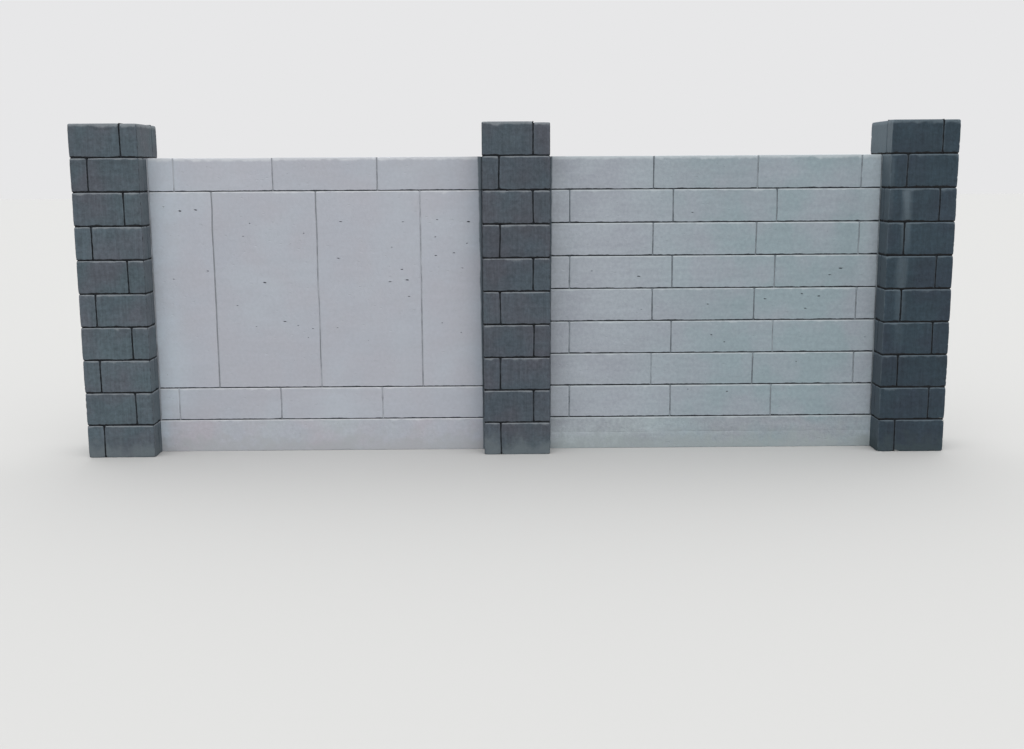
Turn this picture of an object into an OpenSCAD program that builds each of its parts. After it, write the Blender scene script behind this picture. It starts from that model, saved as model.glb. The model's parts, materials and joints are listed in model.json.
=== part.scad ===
/* [Blocks] */
// Length of a whole aerated concrete block
block_l = 624; // [600:1:640]
// Height of a block
block_h = 199; // [180:1:249]
// Thickness of a block, through the wall
block_t = 100; // [75:5:125]
// Thickness of the thin mortar bed between two courses
bed_joint = 1; // [1:0.5:3]
// Thickness of an upright joint between two blocks of a course
head_joint = 4; // [2:0.5:5]
// Width of the worn arris along every edge of a block
arris = 2; // [1:0.5:4]
// How far the mortar stands back from the block faces
rake = 4; // [4:0.5:8]

/* [Piers] */
// Cut length of the four blocks that turn round a pier
pier_block_l = 300; // [260:5:350]
// Courses in a pier
pier_courses = 10; // [10:1:12]

/* [Wall] */
// Whole blocks in each course between two piers
whole_blocks = 3; // [2:1:4]
// Length of the cut piece that closes each course
cut_l = 116; // [80:1:300]
// Length of the first piece in the left wall's top course
top_cut_l = 150; // [100:5:300]
// Courses from the ground to the wall's top, the cast plinth among them
wall_courses = 9; // [8:1:10]
// How far the wall's face stands back from the front of the piers
setback = 155; // [120:5:180]

/* [Hidden] */
light_grey = [0.60, 0.63, 0.67];
charcoal = [0.27, 0.31, 0.35];
mortar_grey = [0.40, 0.42, 0.44];
LEFT = 0;
MIDDLE = 1;
RIGHT = 2;
over = 1; // overshoot of a cutting shape, so that it leaves no skin

course_pitch = block_h + bed_joint;
pier_w = pier_block_l + head_joint + block_t;
pier_h = pier_courses * course_pitch - bed_joint;
// Clear length of wall between two piers, and from pier centre to pier centre
wall_l = whole_blocks * (block_l + head_joint) + cut_l + 2 * head_joint;
bay = wall_l + pier_w;
// Y of the wall's front face, with the piers' centres at zero
wall_y = setback - pier_w / 2;
// X of each pier's centre, and of the left end of the wall beside it
pier_x = [-bay, 0, bay];
wall_x = [for (x = pier_x) x + pier_w / 2];

// Pieces of a course from left to right, with its cut piece last or first
cut_last = concat([for (i = [1:whole_blocks]) block_l], [cut_l]);
cut_first = concat([cut_l], [for (i = [1:whole_blocks]) block_l]);
// The left wall's top course moves its first joint along
top_pieces = concat([top_cut_l, cut_l + block_l - top_cut_l], [for (i = [2:whole_blocks]) block_l]);
// Tall slabs stand between the left wall's second course and its top one
edge_slab_l = (cut_l + block_l) / 2;
slab_pieces = concat([edge_slab_l], [for (i = [2:whole_blocks]) block_l], [edge_slab_l]);
slab_h = (wall_courses - 3) * course_pitch - bed_joint;

// Left end of piece i in a row of pieces that starts after its end joint
function piece_x(pieces, i) = i == 0 ? head_joint : piece_x(pieces, i - 1) + pieces[i - 1] + head_joint;
// Bottom of course k, in a pier and in a wall alike
function course_z(k) = (k - 1) * course_pitch;
// Top of the last of a wall's rows, each given as [pieces, bottom, height]
function rows_top(rows) = rows[len(rows) - 1][1] + rows[len(rows) - 1][2];
// Rows of the two walls as [pieces, bottom, height], above their plinths
left_rows = [
    [cut_first, course_z(2), block_h],
    [slab_pieces, course_z(3), slab_h],
    [top_pieces, course_z(wall_courses), block_h],
];
right_rows = [for (k = [2:wall_courses]) [k % 2 == 0 ? cut_first : cut_last, course_z(k), block_h]];

function numbered(name, k) = str(name, k < 10 ? "_0" : "_", k);
pier_courses_named = ["left_pier_course", "middle_pier_course", "right_pier_course"];
left_row_names = ["left_wall_course_02", "left_wall_slabs", "left_wall_top_course"];
right_row_names = [for (k = [2:wall_courses]) numbered("right_wall_course", k)];

// A rectangle from the origin, with its corners worn off
module worn_rectangle(w, h) {
    polygon([
        [arris, 0], [w - arris, 0], [w, arris], [w, h - arris],
        [w - arris, h], [arris, h], [0, h - arris], [0, arris],
    ]);
}

// One block from the origin, with a worn arris on all twelve edges
module block(l, t, h) {
    intersection() {
        linear_extrude(h) worn_rectangle(l, t);
        translate([0, t, 0]) rotate([90, 0, 0]) linear_extrude(t) worn_rectangle(l, h);
        rotate([90, 0, 90]) linear_extrude(l) worn_rectangle(t, h);
    }
}

// Four children turned round the centre of a pier, the other way in every second course
module pinwheel(k) {
    mirror([k % 2 == 0 ? 0 : 1, 0, 0])
        for (quarter = [0:3])
            rotate([0, 0, 90 * quarter])
                translate([-pier_w / 2, -pier_w / 2, course_z(k)]) children();
}

// Course k of a pier: four cut blocks round its core
module pier_course(pier, k) {
    color(charcoal)
        translate([pier_x[pier], 0, 0])
            pinwheel(k) block(pier_block_l, block_t, block_h);
}

// Poured core of a pier, with the mortar that fills the joints between its blocks
module pier_core(pier) {
    filled_w = pier_w - 2 * rake;
    color(mortar_grey)
        translate([pier_x[pier], 0, 0])
            difference() {
                translate([-filled_w / 2, -filled_w / 2, 0]) cube([filled_w, filled_w, pier_h]);
                for (k = [1:pier_courses]) {
                    under = k == 1 ? over : 0;
                    above = k == pier_courses ? over : 0;
                    pinwheel(k)
                        translate([0, 0, -under]) cube([pier_block_l, block_t, under + block_h + above]);
                }
            }
}

// Cast concrete plinth between two piers, one course high and flush with the blocks above it
module plinth(wall) {
    color(light_grey)
        translate([wall_x[wall], wall_y, 0])
            rotate([90, 0, 90]) linear_extrude(wall_l) worn_rectangle(block_t, block_h);
}

// One row of blocks or slabs in a wall
module wall_row(wall, row) {
    pieces = row[0];
    color(light_grey)
        for (i = [0:len(pieces) - 1])
            translate([wall_x[wall] + piece_x(pieces, i), wall_y, row[1]])
                block(pieces[i], block_t, row[2]);
}

// Mortar that fills every joint of a wall, as one thin lattice
module mortar_lattice(wall, rows) {
    color(mortar_grey)
        translate([wall_x[wall], wall_y, 0])
            difference() {
                translate([0, rake, block_h])
                    cube([wall_l, block_t - 2 * rake, rows_top(rows) - rake - block_h]);
                for (row = rows)
                    for (i = [0:len(row[0]) - 1])
                        translate([piece_x(row[0], i), 0, row[1]])
                            cube([row[0][i], block_t, row[2]]);
            }
}

for (pier = [LEFT:RIGHT])
    for (k = [1:pier_courses])
        pier_course(pier, k);
for (pier = [LEFT:RIGHT]) pier_core(pier);  // pier_cores
for (wall = [LEFT:MIDDLE]) plinth(wall);  // plinths
for (i = [0:len(left_rows) - 1])
    wall_row(LEFT, left_rows[i]);
for (i = [0:len(right_rows) - 1])
    wall_row(MIDDLE, right_rows[i]);
union() {  // wall_mortar
    mortar_lattice(LEFT, left_rows);
    mortar_lattice(MIDDLE, right_rows);
}
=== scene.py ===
"""Dresses the painted block garden wall.

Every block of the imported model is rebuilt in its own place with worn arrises, chips and open pores.
The mortar, the cast plinths and the concrete cores are rebuilt too, and all of them get painted or bare
masonry finishes. Sizes are in millimetres where a name ends in mm, and in metres elsewhere.
"""

import json
import logging
import math
from dataclasses import dataclass, field, replace
from enum import Enum, IntEnum
from functools import cached_property

import bmesh
import bpy
import numpy as np
from mathutils import Matrix, Vector

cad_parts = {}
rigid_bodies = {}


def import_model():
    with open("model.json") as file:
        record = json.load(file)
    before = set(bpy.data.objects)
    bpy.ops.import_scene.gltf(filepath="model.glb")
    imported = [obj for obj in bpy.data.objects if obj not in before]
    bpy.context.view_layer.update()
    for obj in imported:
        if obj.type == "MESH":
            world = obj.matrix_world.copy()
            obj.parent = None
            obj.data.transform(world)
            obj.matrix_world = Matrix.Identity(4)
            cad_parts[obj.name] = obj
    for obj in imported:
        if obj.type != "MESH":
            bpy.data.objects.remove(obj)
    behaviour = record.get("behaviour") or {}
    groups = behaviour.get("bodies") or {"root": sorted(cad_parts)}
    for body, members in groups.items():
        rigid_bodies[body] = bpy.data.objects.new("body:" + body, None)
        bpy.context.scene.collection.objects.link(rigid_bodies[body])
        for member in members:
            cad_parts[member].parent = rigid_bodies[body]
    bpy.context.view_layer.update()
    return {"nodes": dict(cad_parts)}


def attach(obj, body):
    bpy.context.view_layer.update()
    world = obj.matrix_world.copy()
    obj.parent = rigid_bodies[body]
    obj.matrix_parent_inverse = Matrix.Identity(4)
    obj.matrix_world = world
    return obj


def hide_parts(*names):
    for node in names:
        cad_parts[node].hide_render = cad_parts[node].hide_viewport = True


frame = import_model()

LOG = logging.getLogger("garden_wall")
MM = 0.001
BODY = "root"
# What the mesh tells the paint about each point; soot also carries painted shade, and dust a painted
# highlight
TRACES = ("soot", "dust", "pore", "bare", "tone")
# A hash for lattice_noise: large odd numbers that scatter neighbouring corners, and masks of low bits
SCATTER = (73856093, 19349663, 83492791, 2654435761)
STIR = 1274126177
BITS_32 = 0xFFFFFFFF
BITS_16 = 0xFFFF
# Steps and starts that give each block and joint of a bay or a pier a seed of its own
ROW_SEEDS = 100
BLOCK_SEEDS = 7
RAKE_SEED = 800
BED_SEED = 900
SEAM_SEED = 950
CORE_SEED = 990


class Axis(IntEnum):
    """The three directions of the wall."""

    ALONG = 0
    THROUGH = 1
    UP = 2


class Look(Enum):
    """How much of one side of a block can be seen."""

    OPEN = "seen all over"
    JOINT = "seen only from the joint beside it"


# A side of a block is its axis and its end, 0 for the low end and 1 for the high end
Side = tuple[int, int]
SIDES: tuple[Side, ...] = tuple((axis, end) for axis in Axis for end in (0, 1))
LEFT, RIGHT, FRONT, BACK, BOTTOM, TOP = SIDES


def face_axes(side: Side) -> tuple[int, int]:
    """Gives the two axes that follow a side's own: the first across its face, the second up it."""
    return (side[0] + 1) % 3, (side[0] + 2) % 3


def arris_axis(first: Side, second: Side) -> int:
    """Gives the axis along which the arris between two sides runs."""
    return 3 - first[0] - second[0]


def linear(colour: str) -> tuple[float, float, float, float]:
    """Turns an sRGB hex colour into linear light.

    Args:
        colour: Six hex digits after a hash.

    Returns:
        Red, green, blue and an alpha of one.
    """
    parts = [int(colour[i:i + 2], 16) / 255 for i in (1, 3, 5)]
    return (*(p / 12.92 if p <= 0.04045 else ((p + 0.055) / 1.055) ** 2.4 for p in parts), 1.0)


def per(spacing_mm: float) -> float:
    """Gives the scale of a pattern whose marks lie that far apart."""
    return 1 / (spacing_mm * MM)


def lattice_noise(points: np.ndarray, grain: float, seed: int) -> np.ndarray:
    """Gives smooth random values at points in space.

    Args:
        points: One row of X, Y and Z for each point.
        grain: Size of one bump, in the unit of the points.
        seed: Picks the pattern.

    Returns:
        One value from -1 to 1 for each point.
    """
    scaled = points / grain
    cell = np.floor(scaled).astype(np.int64)
    part = scaled - cell
    part = part * part * (3 - 2 * part)
    total = np.zeros(len(points))
    for corner in np.ndindex(2, 2, 2):
        weight = np.prod(np.where(corner, part, 1 - part), axis=1)
        x, y, z = (cell + corner).T
        mixed = (x * SCATTER[0]) ^ (y * SCATTER[1]) ^ (z * SCATTER[2]) ^ (seed * SCATTER[3])
        mixed &= BITS_32
        mixed = (mixed ^ (mixed >> 13)) * STIR & BITS_32
        total += weight * ((mixed ^ (mixed >> 16)) & BITS_16) / BITS_16
    return 2 * total - 1


@dataclass(frozen=True)
class Box:
    """A block's place in the wall, in metres."""

    low: tuple[float, ...]
    high: tuple[float, ...]

    @property
    def size(self) -> np.ndarray:
        """Length, thickness and height."""
        return np.array(self.high) - np.array(self.low)


def around(boxes: list[Box]) -> Box:
    """Gives the box that holds several others."""
    return Box(tuple(np.min([box.low for box in boxes], axis=0)),
               tuple(np.max([box.high for box in boxes], axis=0)))


def solid_boxes(node: str) -> list[Box]:
    """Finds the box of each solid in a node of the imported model.

    Args:
        node: The node's name.

    Returns:
        One box for each solid, from left to right and from front to back.
    """
    shape = bmesh.new()
    shape.from_mesh(frame["nodes"][node].data)
    bmesh.ops.remove_doubles(shape, verts=shape.verts, dist=0.01 * MM)
    left = set(shape.verts)
    boxes = []
    while left:
        reached = [left.pop()]
        solid = list(reached)
        while reached:
            for edge in reached.pop().link_edges:
                for vert in edge.verts:
                    if vert in left:
                        left.remove(vert)
                        reached.append(vert)
                        solid.append(vert)
        corners = np.array([vert.co for vert in solid], dtype=float)
        boxes.append(Box(tuple(corners.min(0)), tuple(corners.max(0))))
    shape.free()
    return sorted(boxes, key=lambda box: (round(box.low[0], 4), round(box.low[1], 4)))


@dataclass(frozen=True)
class Pore:
    """An open pore in a face.

    Attributes:
        across_mm: Its place from the low end of the axis that follows the face's own.
        up_mm: Its place from the low end of the axis after that.
        width_mm: Its level width.
        side: The face.
        filled: Share of it that paint fills.
    """

    across_mm: float
    up_mm: float
    width_mm: float
    side: Side = FRONT
    filled: float = 0.0


@dataclass(frozen=True)
class Chip:
    """A flake missing from an arris, at a place along it, whose scar is painted or bare."""

    sides: tuple[Side, Side]
    along_mm: float
    length_mm: float
    depth_mm: float
    bare: bool = False


@dataclass(frozen=True)
class Groove:
    """A line left in a cast face, level or upright, at a distance from the face's low end."""

    axis: int
    at_mm: float
    width_mm: float
    depth_mm: float


@dataclass(frozen=True)
class Wear:
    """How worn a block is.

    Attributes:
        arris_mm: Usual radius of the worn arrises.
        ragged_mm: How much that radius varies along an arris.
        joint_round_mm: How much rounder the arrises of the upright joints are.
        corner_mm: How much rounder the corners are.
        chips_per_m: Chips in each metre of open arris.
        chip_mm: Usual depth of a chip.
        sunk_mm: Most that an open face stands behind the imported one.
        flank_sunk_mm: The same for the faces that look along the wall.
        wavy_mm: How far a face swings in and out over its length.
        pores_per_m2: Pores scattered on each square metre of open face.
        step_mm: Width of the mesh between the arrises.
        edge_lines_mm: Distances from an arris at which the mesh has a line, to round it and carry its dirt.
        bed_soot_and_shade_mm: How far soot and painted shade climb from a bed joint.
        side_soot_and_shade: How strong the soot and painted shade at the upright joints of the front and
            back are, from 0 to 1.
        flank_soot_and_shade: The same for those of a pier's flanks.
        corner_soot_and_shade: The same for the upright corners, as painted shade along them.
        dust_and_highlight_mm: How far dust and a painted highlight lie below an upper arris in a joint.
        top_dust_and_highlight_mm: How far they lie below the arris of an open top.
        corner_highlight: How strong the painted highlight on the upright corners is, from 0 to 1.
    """

    arris_mm: float = 3.3
    ragged_mm: float = 1.3
    joint_round_mm: float = 2.2
    corner_mm: float = 1.5
    chips_per_m: float = 1.0
    chip_mm: float = 3.0
    sunk_mm: float = 1.4
    flank_sunk_mm: float = 1.4
    wavy_mm: float = 0.8
    pores_per_m2: float = 6.0
    step_mm: float = 24.0
    edge_lines_mm: tuple[float, ...] = (0.0, 1.0, 2.8, 6.0, 11.0)
    bed_soot_and_shade_mm: float = 4.8
    side_soot_and_shade: float = 0.42
    flank_soot_and_shade: float = 0.0
    corner_soot_and_shade: float = 0.0
    dust_and_highlight_mm: float = 8.0
    top_dust_and_highlight_mm: float = 15.0
    corner_highlight: float = 0.0


WALL_WEAR = Wear()
RIGHT_WALL_WEAR = replace(WALL_WEAR, bed_soot_and_shade_mm=6.0, side_soot_and_shade=0.44)
SLAB_WEAR = replace(WALL_WEAR, joint_round_mm=3.2, sunk_mm=0.8, side_soot_and_shade=0.34, step_mm=26.0)
PLINTH_WEAR = replace(WALL_WEAR, arris_mm=3.0, chips_per_m=0.8, sunk_mm=0.4, wavy_mm=1.4, pores_per_m2=12.0,
                      step_mm=22.0)
PIER_WEAR = Wear(arris_mm=4.6, ragged_mm=3.0, joint_round_mm=0.4, corner_mm=9.0, chips_per_m=3.6,
                 chip_mm=5.2, sunk_mm=4.2, flank_sunk_mm=0.6, wavy_mm=1.2, pores_per_m2=14.0,
                 bed_soot_and_shade_mm=7.8, side_soot_and_shade=0.6, flank_soot_and_shade=0.3, corner_soot_and_shade=0.5, dust_and_highlight_mm=9.0,
                 top_dust_and_highlight_mm=18.0)
# The right pier's outer corners get a painted highlight
SHADED_PIER_WEAR = replace(PIER_WEAR, bed_soot_and_shade_mm=9.0, corner_soot_and_shade=0.0, corner_highlight=0.42)


@dataclass(frozen=True)
class Drift:
    """How the upright joints of a wall or a pier wander from plumb.

    The blocks on both sides of a joint move together, so that the joint keeps its width.

    Attributes:
        low: The low corner of the wall or pier, in metres.
        high: Its high corner.
        axes: The level axes along which its joints wander.
        most_mm: The furthest that they wander.
    """

    low: tuple[float, ...]
    high: tuple[float, ...]
    axes: tuple[int, ...]
    most_mm: float
    HOLD_MM = 40.0
    GRAIN_MM = 150.0
    LEVEL_SQUEEZE = 0.4
    SEED = 31

    def at(self, place: np.ndarray) -> np.ndarray:
        """Gives the move of points, which dies out at the outer faces.

        Args:
            place: The points, in millimetres from the origin.

        Returns:
            The move of each point, in millimetres.
        """
        move = np.zeros_like(place)
        slow = place * (self.LEVEL_SQUEEZE, self.LEVEL_SQUEEZE, 1.0)
        for axis in self.axes:
            inside = np.minimum(place[:, axis] - self.low[axis] / MM, self.high[axis] / MM - place[:, axis])
            free = np.clip(inside / self.HOLD_MM, 0, 1)
            move[:, axis] = self.most_mm * free * lattice_noise(slow, self.GRAIN_MM, self.SEED + axis)
        return move


@dataclass
class Shell:
    """The worn surface of one block, as points and faces.

    The points lie on a lattice over the six sides, closer together at the arrises and at chips. A side
    that no one sees is one large face, apart from the strip that shows in a joint.

    Attributes:
        box: The block's place.
        looks: How much of each open or joint side is seen; a side left out is never seen.
        wear: How worn the block is.
        seed: Picks its chips, pores and unevenness.
        drift: How its upright joints wander.
        pores: Pores at chosen places, besides the scattered ones.
        grooves: Lines left in the block's front and back faces.
        chips: Chips at chosen places; the scattered ones are added to them.
        sunk_mm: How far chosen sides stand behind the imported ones; the other open sides are added.
    """

    box: Box
    looks: dict[Side, Look]
    wear: Wear
    seed: int
    drift: Drift | None = None
    pores: tuple[Pore, ...] = ()
    grooves: tuple[Groove, ...] = ()
    chips: tuple[Chip, ...] = ()
    sunk_mm: dict[Side, float] = field(default_factory=dict)

    # Sizes of scattered chips as shares of the usual one, their lengths at that size, and their
    # least distance from a corner
    CHIP_SIZES = (0.4, 1.5)
    CHIP_LENGTHS_MM = (10, 20)
    CHIP_INSET_MM = 12
    # Shares of a chip's half length at which the lattice has a line, and the same for a groove's width
    CHIP_LINES = (-1.0, -0.35, 0.35, 1.0)
    GROOVE_LINES = (-1.0, -0.4, 0.0, 0.4, 1.0)
    # Lines that must stay lie at least this far apart, and the regular ones this share of a step
    LEAST_GAP_MM = 0.3
    LEAST_STEP = 0.3
    # Widths of scattered pores, and how far paint fills them
    PORE_WIDTHS_MM = (3, 8)
    PORE_FILLS = (0.0, 0.7)
    # A pore is wider than it is high, because the cakes rise lying on their side
    LEVEL_STRETCH = 1.35
    UPRIGHT_STRETCH = 0.45
    RING_POINTS = 16
    # Rings of a pore as shares of its radius and of its depth. The flat ones keep its shading small
    PORE_RINGS = ((1.45, 0.0), (1.18, 0.0), (1.0, 0.12), (0.86, 0.62), (0.5, 1.0))
    # Largest pore as a share of the four cells that it opens, and the flat margin round its outer ring
    PORE_ROOM = 0.26
    PORE_MARGIN = 1.2
    # How oval and how ragged its rim is, and its depth as a share of its width
    PORE_OVAL = 0.16
    PORE_RAGGED = 0.07
    PORE_DEPTHS = (0.45, 0.65)
    # Waves in the radius of an arris: strength, length in millimetres and a step of the seed
    ARRIS_WAVES = ((0.5, 150, 2), (0.4, 45, 0), (0.3, 17, 1))
    CHIP_REACH_MM = 12.0
    CORNER_REACH_MM = 22.0
    LEAST_RADIUS_MM = 0.3
    MOST_RADIUS_MM = 10.0
    # Waves in a face, from a middle: strength, length in millimetres and seed
    FACE_MIDDLE = 0.5
    FACE_WAVES = ((0.3, 260, 11), (0.2, 75, 12))
    # Soot and painted shade start this far behind the open faces, inside the joints where shade falls, and
    # are full so much further in
    SOOT_AND_SHADE_START_MM = 1.2
    SOOT_AND_SHADE_FADE_MM = 2.4
    # How far soot and painted shade reach from an upper bed joint and from an upright joint, how far the
    # painted highlight reaches from an upright corner, and how far soot and painted shade reach from it
    TOP_SOOT_AND_SHADE_MM = 1.8
    SEAM_SOOT_AND_SHADE_MM = 8
    CORNER_HIGHLIGHT_MM = 16
    CORNER_SOOT_AND_SHADE_MM = 12

    def __post_init__(self) -> None:
        """Builds the surface. The random draws come in a set order."""
        self.size_mm = self.box.size / MM
        self.rng = np.random.default_rng(self.seed)
        self.open_sides = sorted(side for side, look in self.looks.items() if look is Look.OPEN)
        sunk = {}
        for side in self.open_sides:
            sunk[side] = self.rng.uniform(0, self.wear.flank_sunk_mm if side[0] == Axis.ALONG
                                          else self.wear.sunk_mm)
        self.sunk_mm = sunk | self.sunk_mm
        self.tone = float(self.rng.uniform(-1, 1))
        self.chips = self.scatter_chips() + self.chips
        self.lines = [self.axis_lines(axis) for axis in Axis]
        self.faces: list[tuple[int, ...]] = []
        self.extra_points: list[np.ndarray] = []
        self.extra_inward: list[np.ndarray] = []
        self.extra_pore: list[float] = []
        self.lay_lattice()
        self.cover(self.pores + self.scatter_pores())
        self.points, self.traces = self.shaped()

    def scatter_chips(self) -> tuple[Chip, ...]:
        """Places chips along the arrises of the open sides.

        Returns:
            The chips.
        """
        chips = []
        inset = self.CHIP_INSET_MM
        for side in self.open_sides:
            for other in (other for other in SIDES if other[0] != side[0]):
                length = self.size_mm[arris_axis(side, other)]
                for _ in range(self.rng.poisson(self.wear.chips_per_m * length / 1000)):
                    size = self.rng.uniform(*self.CHIP_SIZES)
                    along = self.rng.uniform(inset, max(inset + 1, length - inset))
                    chips.append(Chip((side, other), float(along),
                                      float(size * self.rng.uniform(*self.CHIP_LENGTHS_MM)),
                                      float(size * self.wear.chip_mm)))
        return tuple(chips)

    def scatter_pores(self) -> tuple[Pore, ...]:
        """Scatters small pores over the open sides.

        Returns:
            The pores.
        """
        pores = []
        for side in self.open_sides:
            width, height = (self.size_mm[axis] for axis in face_axes(side))
            area = width * height / 1e6
            for _ in range(self.rng.poisson(self.wear.pores_per_m2 * area)):
                across, up = self.rng.uniform(0, width), self.rng.uniform(0, height)
                pores.append(Pore(float(across), float(up), float(self.rng.uniform(*self.PORE_WIDTHS_MM)),
                                  side, float(self.rng.uniform(*self.PORE_FILLS))))
        return tuple(pores)

    def axis_lines(self, axis: int) -> np.ndarray:
        """Places the lattice's lines along one axis.

        Args:
            axis: The axis along which the lines follow each other.

        Returns:
            Distances from the low end, in millimetres.
        """
        length = self.size_mm[axis]
        edge = [line for line in self.wear.edge_lines_mm if line < length / 2 - 0.2]
        kept = {*edge, *(length - line for line in edge)}
        # A chip gets no lines of its own beside a chosen pore, which needs wide cells round it
        spots = [spot for pore in self.pores
                 for way, spot in zip(face_axes(pore.side), (pore.across_mm, pore.up_mm)) if way == axis]
        for chip in self.chips:
            if arris_axis(*chip.sides) == axis:
                wanted = [chip.along_mm + share * chip.length_mm / 2 for share in self.CHIP_LINES]
                kept |= {line for line in wanted if edge[-1] + 1 < line < length - edge[-1] - 1
                         and all(abs(line - spot) > self.wear.step_mm for spot in spots)}
        for groove in self.grooves:
            if groove.axis == axis:
                kept |= {groove.at_mm + share * groove.width_mm for share in self.GROOVE_LINES}
        # The later of two lines too close together gives way, and so does a regular one too close to any
        chosen: list[float] = []
        for line in sorted(kept):
            if not chosen or line - chosen[-1] > self.LEAST_GAP_MM:
                chosen.append(line)
        inner = length - 2 * edge[-1]
        count = max(1, round(inner / self.wear.step_mm))
        for line in (edge[-1] + inner * i / count for i in range(1, count)):
            if all(abs(line - other) > self.wear.step_mm * self.LEAST_STEP for other in chosen):
                chosen.append(line)
        return np.array(sorted(chosen))

    def lay_lattice(self) -> None:
        """Numbers the points on the six sides."""
        counts = [len(line) for line in self.lines]
        on_side = np.zeros(counts, dtype=bool)
        for axis, end in SIDES:
            picked = [slice(None)] * 3
            picked[axis] = -end
            on_side[tuple(picked)] = True
        self.ids = np.full(counts, -1)
        self.ids[on_side] = np.arange(on_side.sum())
        where = np.argwhere(on_side)
        self.flat_points = np.stack([self.lines[axis][where[:, axis]] for axis in Axis], axis=1)

    def side_ids(self, side: Side) -> np.ndarray:
        """Gives the point numbers of one side, by the two axes that follow its own.

        Args:
            side: The side.

        Returns:
            Point numbers in rows and columns.
        """
        axis, end = side
        ids = self.ids.take(-end, axis=axis)
        return ids.T if axis == Axis.THROUGH else ids

    def cover(self, pores: tuple[Pore, ...]) -> None:
        """Lays faces over the six sides, with holes for the pores.

        Args:
            pores: The pores of all sides.
        """
        for side in SIDES:
            ids = self.side_ids(side)
            taken = np.zeros((ids.shape[0] - 1, ids.shape[1] - 1), dtype=bool)
            if side in self.open_sides:
                for pore in pores:
                    if pore.side == side:
                        self.sink_pore(pore, ids, taken)
            else:
                self.close_unseen(side, ids, taken)
            for i, j in np.argwhere(~taken):
                self.add_face(side, (ids[i, j], ids[i + 1, j], ids[i + 1, j + 1], ids[i, j + 1]))

    def add_face(self, side: Side, corners: tuple[int, ...]) -> None:
        """Adds a face that looks out of its side."""
        self.faces.append(tuple(int(c) for c in (corners if side[1] else corners[::-1])))

    def close_unseen(self, side: Side, ids: np.ndarray, taken: np.ndarray) -> None:
        """Covers the unseen middle of a side with one face.

        Args:
            side: The side.
            ids: Its point numbers.
            taken: Which of its cells are already covered; this adds to them.
        """
        strip = len(self.wear.edge_lines_mm) - 1
        spans = []
        for axis, count in zip(face_axes(side), ids.shape):
            start = strip if (axis, 0) in self.open_sides else 0
            stop = count - 1 - (strip if (axis, 1) in self.open_sides else 0)
            spans.append((start, stop))
        (i0, i1), (j0, j1) = spans
        if i1 <= i0 or j1 <= j0:
            return
        taken[i0:i1, j0:j1] = True
        loop = [ids[i, j0] for i in range(i0, i1)] + [ids[i1, j] for j in range(j0, j1)]
        loop += [ids[i, j1] for i in range(i1, i0, -1)] + [ids[i0, j] for j in range(j1, j0, -1)]
        self.add_face(side, tuple(loop))

    def sink_pore(self, pore: Pore, ids: np.ndarray, taken: np.ndarray) -> None:
        """Opens a pore in the four cells round a point of a side.

        Args:
            pore: The pore.
            ids: The side's point numbers.
            taken: Which of its cells are already covered; this adds to them.
        """
        across, up = face_axes(pore.side)
        i = int(np.argmin(np.abs(self.lines[across] - pore.across_mm)))
        j = int(np.argmin(np.abs(self.lines[up] - pore.up_mm)))
        strip = len(self.wear.edge_lines_mm)
        if not (strip <= i < ids.shape[0] - strip and strip <= j < ids.shape[1] - strip):
            return
        if taken[i - 1:i + 1, j - 1:j + 1].any():
            return
        taken[i - 1:i + 1, j - 1:j + 1] = True
        low = np.array([self.lines[across][i - 1], self.lines[up][j - 1]])
        high = np.array([self.lines[across][i + 1], self.lines[up][j + 1]])
        stretch = np.array([self.UPRIGHT_STRETCH if way == Axis.UP else self.LEVEL_STRETCH
                            for way in (across, up)]) if pore.side[0] != Axis.UP else np.ones(2)
        radius = min(pore.width_mm / 2, self.PORE_ROOM * float((high - low).min())) / self.LEVEL_STRETCH
        margin = radius * stretch * self.PORE_RINGS[0][0] * self.PORE_MARGIN
        centre = np.clip((pore.across_mm, pore.up_mm), low + margin, high - margin)
        rings = self.pore_rings(pore, centre, radius, stretch)
        outer = [ids[i - 1, j - 1], ids[i, j - 1], ids[i + 1, j - 1], ids[i + 1, j], ids[i + 1, j + 1],
                 ids[i, j + 1], ids[i - 1, j + 1], ids[i - 1, j]]
        self.cover_pore(pore.side, outer, rings)

    def pore_rings(self, pore: Pore, centre: np.ndarray, radius: float,
                   stretch: np.ndarray) -> list[list[int]]:
        """Makes the rings of points of a pore, down to the one point at its bottom.

        Args:
            pore: The pore.
            centre: Its middle, across and up the face.
            radius: Its radius.
            stretch: How that radius is stretched across and up the face.

        Returns:
            The point numbers of each ring, from the outside in.
        """
        axis = pore.side[0]
        across, up = face_axes(pore.side)
        turns = np.radians(-135) + np.arange(self.RING_POINTS) * 2 * np.pi / self.RING_POINTS
        ragged = 1 + self.PORE_OVAL * np.sin(2 * turns + self.rng.uniform(0, 6))
        ragged += self.PORE_RAGGED * self.rng.uniform(-1, 1, len(turns))
        depth = pore.width_mm * self.rng.uniform(*self.PORE_DEPTHS) * (1 - 0.8 * pore.filled)
        rings = []
        for share, sunk in (*self.PORE_RINGS, (0.0, 1.0)):
            count = self.RING_POINTS if share else 1
            ring = np.zeros((count, 3))
            ring[:, axis] = self.size_mm[axis] * pore.side[1]
            ring[:, across] = centre[0] + share * radius * stretch[0] * (ragged * np.cos(turns))[:count]
            ring[:, up] = centre[1] + share * radius * stretch[1] * (ragged * np.sin(turns))[:count]
            inward = np.zeros((count, 3))
            inward[:, axis] = depth * sunk * (-1 if pore.side[1] else 1)
            first = len(self.flat_points) + len(self.extra_points)
            rings.append([first + k for k in range(count)])
            self.extra_points.extend(ring)
            self.extra_inward.extend(inward)
            self.extra_pore.extend([min(1.0, 1.6 * sunk) * (1 - pore.filled)] * count)
        return rings

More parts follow.
